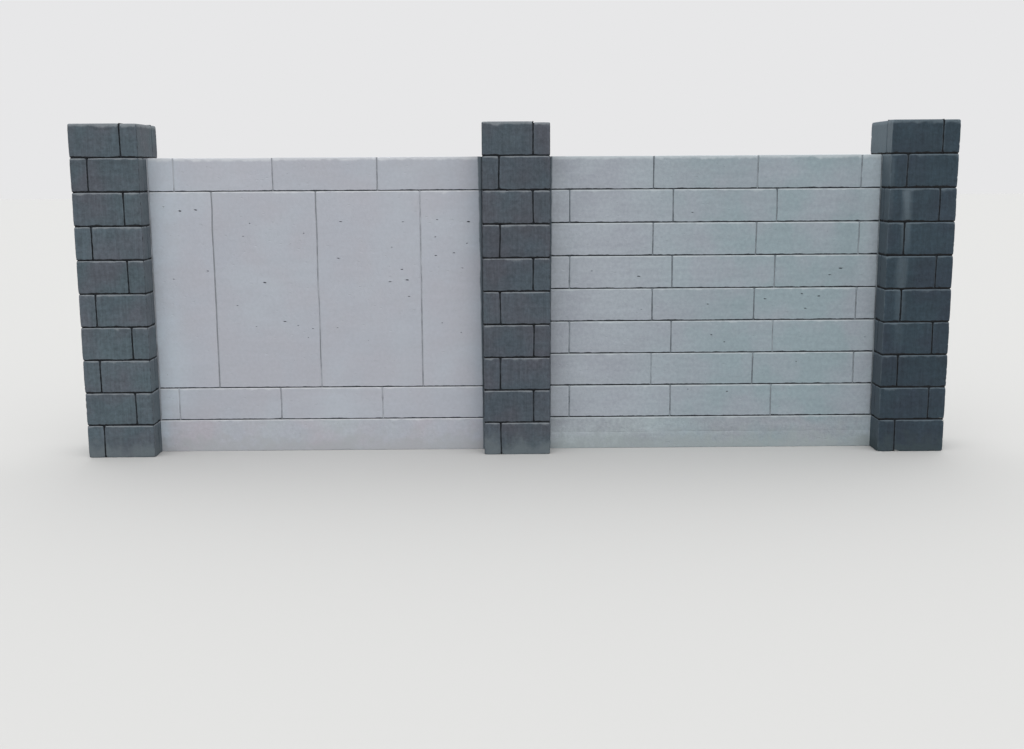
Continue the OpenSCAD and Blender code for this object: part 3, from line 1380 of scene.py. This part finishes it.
# The right pier's darker coat is painted shade
SHADED_PIER_PAINT = replace(
    PIER_PAINT, name="masonry paint on aerated concrete, dark charcoal", coat="#293842", thin="#32424C",
    warm="#2C3440", dust="#7C8A93", soot="#070A0F", splash="#364247", grain=0.2, dust_and_highlight_strength=0.36,
    flank_light=(0.2, 0.4), streaks=PALE_STREAKS)
LEFT_PAINT = MasonryPaint(
    name="masonry paint on aerated concrete, pale grey", coat="#A7ABB4", thin="#ADB4BC", warm="#A8A9B1",
    dust="#CBCED2", soot="#363A3F", splash="#A1A4A8",
    # Painted light beside the left pier, and a bluer tint of painted shade beside the middle pier
    painted_light_fades=(PaintedLightFade(-1.93, -2.21, "#BCC8D2", 0.6), PaintedLightFade(-0.33, -0.2, "#A0ACB8", 0.5)),
    # Painted shade in the corner beside the middle pier
    shaded_cut_ins=(ShadedCutIn(-0.202, 7.0, 18.0, "#616B73"),))
# The right bay's darker, greener coat is partly painted shade, as are the darker colours of its plinth and
# its mortar
RIGHT_PAINT = MasonryPaint(
    name="masonry paint on aerated concrete, damp grey", coat="#9CA3AB", thin="#A0A6AE", warm="#959AA3",
    dust="#BBC3C7", soot="#2B2F33", splash="#949D9F", grain=0.085,
    # Painted shade, darker and greener towards the right pier; painted light beside the right pier and
    # beside the middle pier
    painted_light_fades=(PaintedLightFade(0.4, 1.5, "#84959B", 0.85), PaintedLightFade(2.02, 2.21, "#B6C0C8", 0.6),
           PaintedLightFade(0.34, 0.2, "#B4BAC0", 0.3)),
    shaded_cut_ins=(ShadedCutIn(0.202, 5.5, 12.0, "#5A646C"),))
LEFT_PLINTH_PAINT = replace(
    LEFT_PAINT, name="masonry paint on cast concrete, pale grey", thin="#A9B0B5", warm="#ABA8B0", cloud=0.9,
    grain=0.07, relief_mm=1.6)
RIGHT_PLINTH_PAINT = replace(
    RIGHT_PAINT, name="masonry paint on cast concrete, damp grey", coat="#A1A8B0", thin="#A8B3B5",
    warm="#91979E", cloud=0.95, grain=0.12, relief_mm=2.2)
LEFT_MORTAR = JointMortar("thin-bed mortar, painted over in pale grey", painted="#A2A6AD", sooty_and_shaded="#787C81",
                          # Painted shade on the end joint beside the middle pier
                          shaded_cut_ins=(ShadedCutIn(-0.202, 12.0, 12.0, "#394047"),))
RIGHT_MORTAR = JointMortar("thin-bed mortar, painted over in damp grey", painted="#8A9399", sooty_and_shaded="#5E666C",
                           # Painted shade on the end joint beside the middle pier
                           shaded_cut_ins=(ShadedCutIn(0.202, 12.0, 12.0, "#394047"),))
PIER_MORTAR = JointMortar("thin-bed mortar, painted charcoal", painted="#343C44", sooty_and_shaded="#12171D")
CORE_CONCRETE = PouredConcrete()


def trowelled(uneven_mm: float) -> Wear:
    """Gives the wear of a mortar joint.

    Args:
        uneven_mm: How far its face swings in and out.

    Returns:
        The wear.
    """
    return Wear(arris_mm=0.4, ragged_mm=0.1, joint_round_mm=0.0, corner_mm=0.0, chips_per_m=0.0,
                sunk_mm=0.2, flank_sunk_mm=0.2, wavy_mm=uneven_mm, pores_per_m2=0.0, step_mm=18.0,
                edge_lines_mm=(0.0, 0.8))


@dataclass
class Wall:
    """One bay: a cast plinth, rows of blocks or slabs, and the mortar between them.

    Attributes:
        name: left or right.
        rows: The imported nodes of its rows, from the ground up.
        bay: Which solid of the plinth node is this bay's, from the left.
        paint: The finish of its blocks.
        plinth_paint: The finish of its plinth.
        wear: How worn its blocks are, apart from slabs.
        pores: Pores at chosen places, from the bay's left end and from the ground.
        grooves: Board lines in the plinth.
        joints: The finish of its mortar.
        raked_mm: Least and most that the mortar of its upright joints stands back.
        seed: Picks its blocks' wear.
        tones: Tones of chosen blocks, by the row and the block, both counted from 0.
    """

    name: str
    rows: list[str]
    bay: int
    paint: MasonryPaint
    plinth_paint: MasonryPaint
    wear: Wear
    pores: tuple[Pore, ...]
    grooves: tuple[Groove, ...]
    joints: JointMortar
    raked_mm: tuple[float, float]
    seed: int
    tones: dict[tuple[int, int], float] = field(default_factory=dict)
    BED_RAKE_MM = 5.0
    BED_LAP_MM = 0.4
    SEAM_LAP_MM = 1.8
    BED_UNEVEN_MM = 1.6
    SEAM_UNEVEN_MM = 1.8
    # The plinth and the mortar run on behind the piers' worn flanks
    END_LAP_MM = 6.0
    DRIFT_MM = 2.5
    # What is higher than this is a slab
    SLAB_HEIGHT = 0.5
    SEAM_ROW_SEEDS = 20

    def build(self) -> list[bpy.types.Object]:
        """Builds the bay's pieces.

        Returns:
            The plinth, the rows and the mortar.
        """
        plinth = solid_boxes("plinths")[self.bay]
        rows = [solid_boxes(node) for node in self.rows]
        drift = Drift(plinth.low, (*plinth.high[:2], rows[-1][0].high[2]), (Axis.ALONG,), self.DRIFT_MM)
        pieces = [self.cast_plinth(plinth), *self.painted_rows(plinth, rows, drift),
                  self.mortar(plinth, rows, drift)]
        for piece in pieces:
            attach(piece, BODY)
        return pieces

    def cast_plinth(self, plinth: Box) -> bpy.types.Object:
        """Builds the plinth.

        Args:
            plinth: Its place.

        Returns:
            The plinth.
        """
        lap = self.END_LAP_MM * MM
        longer = Box((plinth.low[0] - lap, *plinth.low[1:]), (plinth.high[0] + lap, *plinth.high[1:]))
        shell = Shell(longer, {FRONT: Look.OPEN, BACK: Look.OPEN, TOP: Look.JOINT}, PLINTH_WEAR, self.seed,
                      pores=self.pores_in(longer, plinth), grooves=self.grooves)
        cast = join(f"{self.name}_cast_plinth", [shell], self.plinth_paint.material())
        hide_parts("plinths")
        return cast

    def painted_rows(self, plinth: Box, rows: list[list[Box]], drift: Drift) -> list[bpy.types.Object]:
        """Builds the rows of blocks and slabs.

        Args:
            plinth: The bay's plinth.
            rows: The boxes of each row's blocks.
            drift: How the upright joints wander.

        Returns:
            One piece for each row, from the ground up.
        """
        paint = self.paint.material()
        looks = {FRONT: Look.OPEN, BACK: Look.OPEN, TOP: Look.JOINT, BOTTOM: Look.JOINT, LEFT: Look.JOINT,
                 RIGHT: Look.JOINT}
        pieces = []
        for number, (node, row) in enumerate(zip(self.rows, rows)):
            if number == len(rows) - 1:
                looks = looks | {TOP: Look.OPEN}
            shells = []
            for i, box in enumerate(row):
                wear = SLAB_WEAR if box.size[2] > self.SLAB_HEIGHT else self.wear
                block = Shell(box, looks, wear, self.seed + ROW_SEEDS * number + BLOCK_SEEDS * i + 1, drift,
                              self.pores_in(box, plinth))
                block.tone = self.tones.get((number, i), block.tone)
                shells.append(block)
            piece = join(f"{node}_painted", shells, paint)
            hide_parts(node)
            pieces.append(piece)
        return pieces

    def pores_in(self, box: Box, plinth: Box) -> tuple[Pore, ...]:
        """Picks the chosen pores that fall in one block, on its front face.

        Args:
            box: The block.
            plinth: The bay's plinth, whose left end the pores are measured from.

        Returns:
            The pores, measured from the block's own corner.
        """
        found = []
        for pore in self.pores:
            x = plinth.low[0] + pore.across_mm * MM
            z = pore.up_mm * MM
            if box.low[0] < x < box.high[0] and box.low[2] < z < box.high[2]:
                # The front face's two axes are height and length, in that order
                found.append(Pore((z - box.low[2]) / MM, (x - box.low[0]) / MM, pore.width_mm, FRONT))
        return tuple(found)

    def mortar(self, plinth: Box, rows: list[list[Box]], drift: Drift) -> bpy.types.Object:
        """Builds the mortar in the bay's joints.

        Args:
            plinth: The bay's plinth.
            rows: The boxes of each row's blocks.
            drift: How the upright joints wander.

        Returns:
            The mortar, as one piece.
        """
        front, back = plinth.low[1], plinth.high[1]
        left, right = plinth.low[0] - self.END_LAP_MM * MM, plinth.high[0] + self.END_LAP_MM * MM
        rng = np.random.default_rng(self.seed + RAKE_SEED)
        looks = {FRONT: Look.OPEN, BACK: Look.OPEN}
        shells = []
        below = plinth.high[2]
        for number, row in enumerate(rows):
            bottom, top = row[0].low[2], row[0].high[2]
            rake, lap = self.BED_RAKE_MM * MM, self.BED_LAP_MM * MM
            bed = Box((left, front + rake, below - lap), (right, back - rake, bottom + lap))
            shells.append(Shell(bed, looks, trowelled(self.BED_UNEVEN_MM), self.seed + BED_SEED + number))
            lap = self.SEAM_LAP_MM * MM
            ends = [left]
            for box in row:
                ends += [box.low[0] + lap, box.high[0] - lap]
            ends.append(right)
            for k in range(0, len(ends), 2):
                rake = float(rng.uniform(*self.raked_mm)) * MM
                open_top = rake if number == len(rows) - 1 else 0
                seam = Box((ends[k], front + rake, bottom), (ends[k + 1], back - rake, top - open_top))
                shells.append(Shell(seam, looks, trowelled(self.SEAM_UNEVEN_MM),
                                    self.seed + SEAM_SEED + self.SEAM_ROW_SEEDS * number + k, drift))
            below = top
        piece = join(f"{self.name}_wall_joints", shells, self.joints.material())
        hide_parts("wall_mortar")
        return piece


@dataclass
class Pier:
    """A pier: ten courses of four cut blocks round a poured core.

    Attributes:
        name: left, middle or right.
        courses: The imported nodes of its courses, from the ground up.
        paint: The finish of its blocks.
        wear: How worn they are.
        seed: Picks each block's own wear.
        knocks: Chips at chosen places, by the course and the block, both counted from 0.
        settled_mm: How far the top of a block in the last course lies below the others'.
    """

    name: str
    courses: list[str]
    paint: MasonryPaint
    wear: Wear
    seed: int
    knocks: dict[tuple[int, int], tuple[Chip, ...]] = field(default_factory=dict)
    settled_mm: dict[int, float] = field(default_factory=dict)
    RAKE_MM = 5.5
    FLANK_RAKE_MM = 1.8
    OVERLAP_MM = 0.6
    UNEVEN_MM = 3.0
    TOP_SUNK_MM = 1.5
    CORE_SUNK_MM = 4.0
    DRIFT_MM = 5.0
    SEAM_COURSE_SEEDS = 9
    # The joints of the flanks are filled and painted better than those of the front
    FLANK_TONE = -2.0
    FRONT_TONE = 0.8

    def build(self) -> list[bpy.types.Object]:
        """Builds the pier's pieces.

        Returns:
            The courses, the mortar and the core.
        """
        courses = [solid_boxes(node) for node in self.courses]
        drift = Drift(around(courses[0]).low, around(courses[-1]).high, (Axis.ALONG, Axis.THROUGH),
                      self.DRIFT_MM)
        pieces = [*self.painted_courses(courses, drift), self.mortar(courses, drift), self.core(courses)]
        for piece in pieces:
            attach(piece, BODY)
        return pieces

    def painted_courses(self, courses: list[list[Box]], drift: Drift) -> list[bpy.types.Object]:
        """Builds the courses of blocks.

        Args:
            courses: The boxes of each course's blocks.
            drift: How the upright joints wander.

        Returns:
            One piece for each course, from the ground up.
        """
        paint = self.paint.material()
        pieces = []
        for number, (node, course) in enumerate(zip(self.courses, courses)):
            pier = around(course)
            last = number == len(courses) - 1
            shells = []
            for i, box in enumerate(course):
                looks = {}
                for axis in (Axis.ALONG, Axis.THROUGH):
                    looks[(axis, 0)] = Look.OPEN if box.low[axis] < pier.low[axis] + MM else Look.JOINT
                    looks[(axis, 1)] = Look.OPEN if box.high[axis] > pier.high[axis] - MM else Look.JOINT
                looks[TOP] = Look.OPEN if last else Look.JOINT
                if number:
                    looks[BOTTOM] = Look.JOINT
                shells.append(Shell(box, looks, self.wear, self.seed + ROW_SEEDS * number + BLOCK_SEEDS * i,
                                    drift, chips=self.knocks.get((number, i), ()),
                                    sunk_mm={TOP: self.settled_mm.get(i, self.TOP_SUNK_MM)} if last else {}))
            piece = join(f"{node}_painted", shells, paint)
            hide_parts(node)
            pieces.append(piece)
        return pieces

    def mortar(self, courses: list[list[Box]], drift: Drift) -> bpy.types.Object:
        """Builds the mortar in the pier's joints.

        Args:
            courses: The boxes of each course's blocks.
            drift: How the upright joints wander.

        Returns:
            The mortar, as one piece.
        """
        rake, lap = self.RAKE_MM * MM, self.OVERLAP_MM * MM
        wear = trowelled(self.UNEVEN_MM)
        sides = {side: Look.OPEN for side in (LEFT, RIGHT, FRONT, BACK)}
        shells = []
        for number, course in enumerate(courses):
            pier = around(course)
            if number:
                under = courses[number - 1][0].high[2]
                bed = Box((pier.low[0] + rake, pier.low[1] + rake, under - lap),
                          (pier.high[0] - rake, pier.high[1] - rake, pier.low[2] + lap))
                shells.append(Shell(bed, sides, wear, self.seed + BED_SEED + number))
            for k, (seam, side) in enumerate(self.seams(course, pier)):
                filled = Shell(seam, {side: Look.OPEN}, wear,
                               self.seed + SEAM_SEED + self.SEAM_COURSE_SEEDS * number + k, drift)
                filled.tone = self.FLANK_TONE if side[0] == Axis.ALONG else self.FRONT_TONE
                shells.append(filled)
        piece = join(f"{self.name}_pier_joints", shells, PIER_MORTAR.material())
        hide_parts("pier_cores")
        return piece

    def seams(self, course: list[Box], pier: Box) -> list[tuple[Box, Side]]:
        """Finds the upright joints of a course.

        Args:
            course: The boxes of its blocks.
            pier: The box of the whole course.

        Returns:
            The box of each joint and the side on which it shows.
        """
        lap = self.OVERLAP_MM * MM
        found = []
        for axis, end in (LEFT, RIGHT, FRONT, BACK):
            rake = (self.FLANK_RAKE_MM if axis == Axis.ALONG else self.RAKE_MM) * MM
            face = (pier.high if end else pier.low)[axis]
            run = 1 - axis
            first, second = sorted((box for box in course
                                    if abs((box.high if end else box.low)[axis] - face) < MM),
                                   key=lambda box: box.low[run])
            depth = min(first.size[axis], second.size[axis])
            start = [0.0, 0.0, pier.low[2]]
            stop = [0.0, 0.0, pier.high[2]]
            start[run] = first.high[run] - lap
            stop[run] = second.low[run] + lap
            start[axis] = face - depth if end else face + rake
            stop[axis] = face - rake if end else face + depth
            found.append((Box(tuple(start), tuple(stop)), (axis, end)))
        return found

    def core(self, courses: list[list[Box]]) -> bpy.types.Object:
        """Builds the poured core, which shows at the pier's top.

        Args:
            courses: The boxes of each course's blocks.

        Returns:
            The core.
        """
        pier = around(courses[-1])
        thickness = min(box.size[axis] for box in courses[-1] for axis in (0, 1))
        top = pier.high[2] - self.CORE_SUNK_MM * MM
        box = Box((pier.low[0] + thickness, pier.low[1] + thickness, courses[0][0].low[2]),
                  (pier.high[0] - thickness, pier.high[1] - thickness, top))
        wear = Wear(arris_mm=1.5, ragged_mm=0.6, joint_round_mm=0.0, corner_mm=0.0, chips_per_m=0.0,
                    sunk_mm=0.5, wavy_mm=5.0, pores_per_m2=60.0, step_mm=11.0)
        shell = CoreShell(box, {TOP: Look.OPEN}, wear, self.seed + CORE_SEED)
        piece = join(f"{self.name}_pier_core", [shell], CORE_CONCRETE.material())
        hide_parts("pier_cores")
        return piece


class CoreShell(Shell):
    """A poured core: closely meshed on top, and plain down its unseen sides."""

    MESHED_TOP_MM = 10

    def axis_lines(self, axis: int) -> np.ndarray:
        """Leaves out the lines down the unseen sides, apart from those near the top.

        Args:
            axis: The axis along which the lines follow each other.

        Returns:
            Distances from the low end, in millimetres.
        """
        lines = super().axis_lines(axis)
        if axis != Axis.UP:
            return lines
        return lines[(lines <= 0) | (lines > self.size_mm[axis] - self.MESHED_TOP_MM)]


# Pores that catch the eye, from each bay's left end and from the ground
LEFT_PORES = (
    Pore(185, 1484, 21), Pore(278, 1490, 19), Pore(560, 1330, 11), Pore(505, 910, 11), Pore(615, 780, 10),
    Pore(790, 810, 17), Pore(870, 785, 11), Pore(960, 765, 12), Pore(930, 710, 10), Pore(679, 1049, 20),
    Pore(1130, 1195, 16), Pore(1150, 1415, 15), Pore(1110, 770, 10), Pore(1440, 1050, 16),
    Pore(1515, 1125, 17), Pore(1545, 1060, 20), Pore(1555, 960, 15), Pore(1755, 795, 11),
    Pore(1870, 735, 10), Pore(1922, 1410, 20), Pore(335, 1122, 16), Pore(126, 1074, 13),
    Pore(925, 1347, 12), Pore(601, 1408, 11), Pore(88, 1510, 11), Pore(1732, 1424, 13),
    Pore(1720, 1320, 12), Pore(1911, 1281, 13), Pore(1722, 1208, 15), Pore(1832, 1223, 14),
    Pore(1756, 1168, 12), Pore(1882, 1131, 12), Pore(1527, 1412, 12), Pore(1458, 1260, 10),
)
RIGHT_PORES = (
    Pore(1785, 1115, 22), Pore(1715, 1075, 15), Pore(975, 900, 14), Pore(1325, 930, 17), Pore(1550, 960, 16),
    Pore(1655, 945, 18), Pore(1575, 870, 15), Pore(1000, 710, 15), Pore(1080, 665, 13), Pore(1950, 690, 11),
    Pore(1530, 540, 11), Pore(1105, 355, 15), Pore(860, 370, 11), Pore(545, 1073, 19), Pore(550, 1040, 14),
    Pore(258, 1108, 12), Pore(868, 1458, 13),
)
BOARD_LINES = (Groove(Axis.UP, 102, 5, 1.6), Groove(Axis.ALONG, 1155, 5, 1.2))
# Blocks that drank the paint more or less than their neighbours, and look darker or paler for it
LEFT_TONES = {(2, 3): -1.7, (1, 0): 1.0}
RIGHT_TONES = {(7, 1): -1.4, (0, 1): 1.0, (0, 2): 0.9, (0, 3): 1.0}
# Late knocks near the ground on the right pier, which bared the block
KNOCKS = {
    "right": {
        (0, 2): (Chip((FRONT, RIGHT), 194, 9, 4.5, True), Chip((FRONT, LEFT), 4, 10, 4.5, True)),
        (1, 0): (Chip((FRONT, LEFT), 4, 9, 4.5, True),),
        (1, 3): (Chip((FRONT, RIGHT), 5, 11, 4.5, True),),
    },
}
# The short blocks that end the last course of a pier lie a little low
SETTLED_MM = {"middle": {3: 7.0, 1: 4.5}, "left": {3: 3.0, 2: 2.5}, "right": {3: 2.5, 1: 4.0}}


@dataclass(frozen=True)
class PhotoCamera:
    """The camera of the photograph: its place in metres, its turn in radians and its lens.

    Attributes:
        eye: Its place.
        pitch: How far it looks down.
        yaw: How far it looks to the right.
        roll: How far it leans to the left.
        lens_mm: Its focal length.
        sensor_mm: Width of its sensor.
        sight: How far it sees, in metres.
    """

    eye: tuple[float, float, float] = (-0.105, -7.212, 1.700)
    pitch: float = 0.1699
    yaw: float = 0.0106
    roll: float = -0.0055
    lens_mm: float = 41.31
    sensor_mm: float = 36
    sight: float = 200

    def place(self) -> bpy.types.Object:
        """Makes the camera and gives it to the scene.

        Returns:
            The camera.
        """
        ahead = Vector((math.sin(self.yaw) * math.cos(self.pitch), math.cos(self.yaw) * math.cos(self.pitch),
                        -math.sin(self.pitch)))
        right = Vector((math.cos(self.yaw), -math.sin(self.yaw), 0))
        up = right.cross(ahead)
        leaning = math.cos(self.roll) * right + math.sin(self.roll) * up
        upright = -math.sin(self.roll) * right + math.cos(self.roll) * up
        data = bpy.data.cameras.new("photo_camera")
        data.sensor_width = self.sensor_mm
        data.lens = self.lens_mm
        data.clip_end = self.sight
        camera = bpy.data.objects.new("photo_camera", data)
        turn = Matrix((leaning, upright, -ahead)).transposed().to_4x4()
        camera.matrix_world = Matrix.Translation(self.eye) @ turn
        bpy.context.scene.collection.objects.link(camera)
        bpy.context.scene.camera = camera
        return camera


@dataclass(frozen=True)
class Studio:
    """A plain pale floor under a soft, bright sky with a broad glow before and behind the wall.

    Attributes:
        floor_m: Width of the floor.
        floor: The floor's colour as the camera sees it.
        bounce: The floor's colour as the light on the wall sees it.
        backdrop: The background's colour.
        sky: Strength of the even light from all round.
        glow: Strength of the two broad glows.
        glow_tilt: How high the glows stand, in radians.
        glow_narrow: How narrow they are.
    """

    floor_m: float = 160.0
    floor: str = "#C0C0BF"
    bounce: str = "#8A8A89"
    backdrop: str = "#E7E7E8"
    sky: float = 0.95
    glow: float = 1.25
    glow_tilt: float = math.radians(35)
    glow_narrow: float = 3.0

    def build(self) -> None:
        """Makes the floor and the lit background."""
        self.lay_floor()
        self.hang_sky()

    def lay_floor(self) -> None:
        """Lays the floor, which looks paler to the camera than the light that it throws back."""
        half = self.floor_m / 2
        mesh = bpy.data.meshes.new("studio_floor")
        mesh.from_pydata([(-half, -half, 0), (half, -half, 0), (half, half, 0), (-half, half, 0)], [],
                         [(0, 1, 2, 3)])
        finish = bpy.data.materials.new("matt studio floor")
        nodes = Nodes(finish)
        colour = nodes.add("ShaderNodeMix", {
            0: self.seen_directly(nodes), 6: linear(self.bounce), 7: linear(self.floor)}, data_type="RGBA")
        shader = nodes.add("ShaderNodeBsdfDiffuse", {"Color": colour})
        nodes.add("ShaderNodeOutputMaterial", {"Surface": shader})
        mesh.materials.append(finish)
        floor = bpy.data.objects.new("studio_floor", mesh)
        bpy.context.scene.collection.objects.link(floor)

    def hang_sky(self) -> None:
        """Lights the wall from all round, most from high before and behind it, on a plain background."""
        world = bpy.data.worlds.new("studio")
        nodes = Nodes(world)
        ray = nodes.add("ShaderNodeTexCoord").outputs["Generated"]
        folded = nodes.add("ShaderNodeVectorMath", {0: ray}, operation="ABSOLUTE")
        facing = nodes.add("ShaderNodeVectorMath", {
            0: folded, 1: (0.0, math.cos(self.glow_tilt), math.sin(self.glow_tilt))},
            operation="DOT_PRODUCT")
        broad = nodes.add("ShaderNodeMath", {0: facing, 1: self.glow_narrow}, operation="POWER")
        soft = nodes.add("ShaderNodeMath", {0: broad, 1: self.glow, 2: self.sky}, operation="MULTIPLY_ADD")
        lit = nodes.add("ShaderNodeBackground", {"Color": linear("#FFFFFF"), "Strength": soft})
        shown = nodes.add("ShaderNodeBackground", {"Color": linear(self.backdrop), "Strength": 1.0})
        both = nodes.add("ShaderNodeMixShader", {0: self.seen_directly(nodes), 1: lit, 2: shown})
        nodes.add("ShaderNodeOutputWorld", {"Surface": both})
        bpy.context.scene.world = world

    @staticmethod
    def seen_directly(nodes: Nodes) -> bpy.types.Node:
        """Tells what the camera sees from what only throws light.

        Args:
            nodes: The node tree.

        Returns:
            A node that gives 1 for what the camera sees itself, in a reflection or through glass, and 0 for
            light.
        """
        path = nodes.add("ShaderNodeLightPath")
        first = nodes.add("ShaderNodeMath", {
            0: path.outputs["Is Camera Ray"], 1: path.outputs["Is Glossy Ray"]}, operation="MAXIMUM")
        return nodes.add("ShaderNodeMath", {
            0: first, 1: path.outputs["Is Transmission Ray"]}, operation="MAXIMUM")


def main() -> None:
    """Builds the studio, the two bays and the three piers."""
    logging.basicConfig(level=logging.INFO, format="%(message)s")
    bpy.context.scene.view_settings.view_transform = "Standard"
    PhotoCamera().place()
    Studio().build()
    names = sorted(frame["nodes"])
    parts: list[Wall | Pier] = [
        Wall("left", ["left_wall_course_02", "left_wall_slabs", "left_wall_top_course"], bay=0,
             paint=LEFT_PAINT, plinth_paint=LEFT_PLINTH_PAINT, wear=WALL_WEAR, pores=LEFT_PORES, grooves=(),
             joints=LEFT_MORTAR, raked_mm=(1.4, 2.8), seed=1000, tones=LEFT_TONES),
        Wall("right", [name for name in names if name.startswith("right_wall_course")], bay=1,
             paint=RIGHT_PAINT, plinth_paint=RIGHT_PLINTH_PAINT, wear=RIGHT_WALL_WEAR, pores=RIGHT_PORES,
             grooves=BOARD_LINES, joints=RIGHT_MORTAR, raked_mm=(2.5, 3.7), seed=3000, tones=RIGHT_TONES),
    ]
    for name, paint, wear, seed in (("left", FADED_PIER_PAINT, PIER_WEAR, 5000),
                                    ("middle", PIER_PAINT, PIER_WEAR, 7000),
                                    ("right", SHADED_PIER_PAINT, SHADED_PIER_WEAR, 9000)):
        courses = [node for node in names if node.startswith(f"{name}_pier_course")]
        parts.append(Pier(name, courses, paint, wear, seed, KNOCKS.get(name, {}), SETTLED_MM.get(name, {})))
    total = 0
    for part in parts:
        for piece in part.build():
            count = sum(len(face.vertices) - 2 for face in piece.data.polygons)
            total += count
            LOG.info("%s: %d triangles", piece.name, count)
    LOG.info("all pieces: %d triangles", total)


if __name__ == "__main__":
    main()
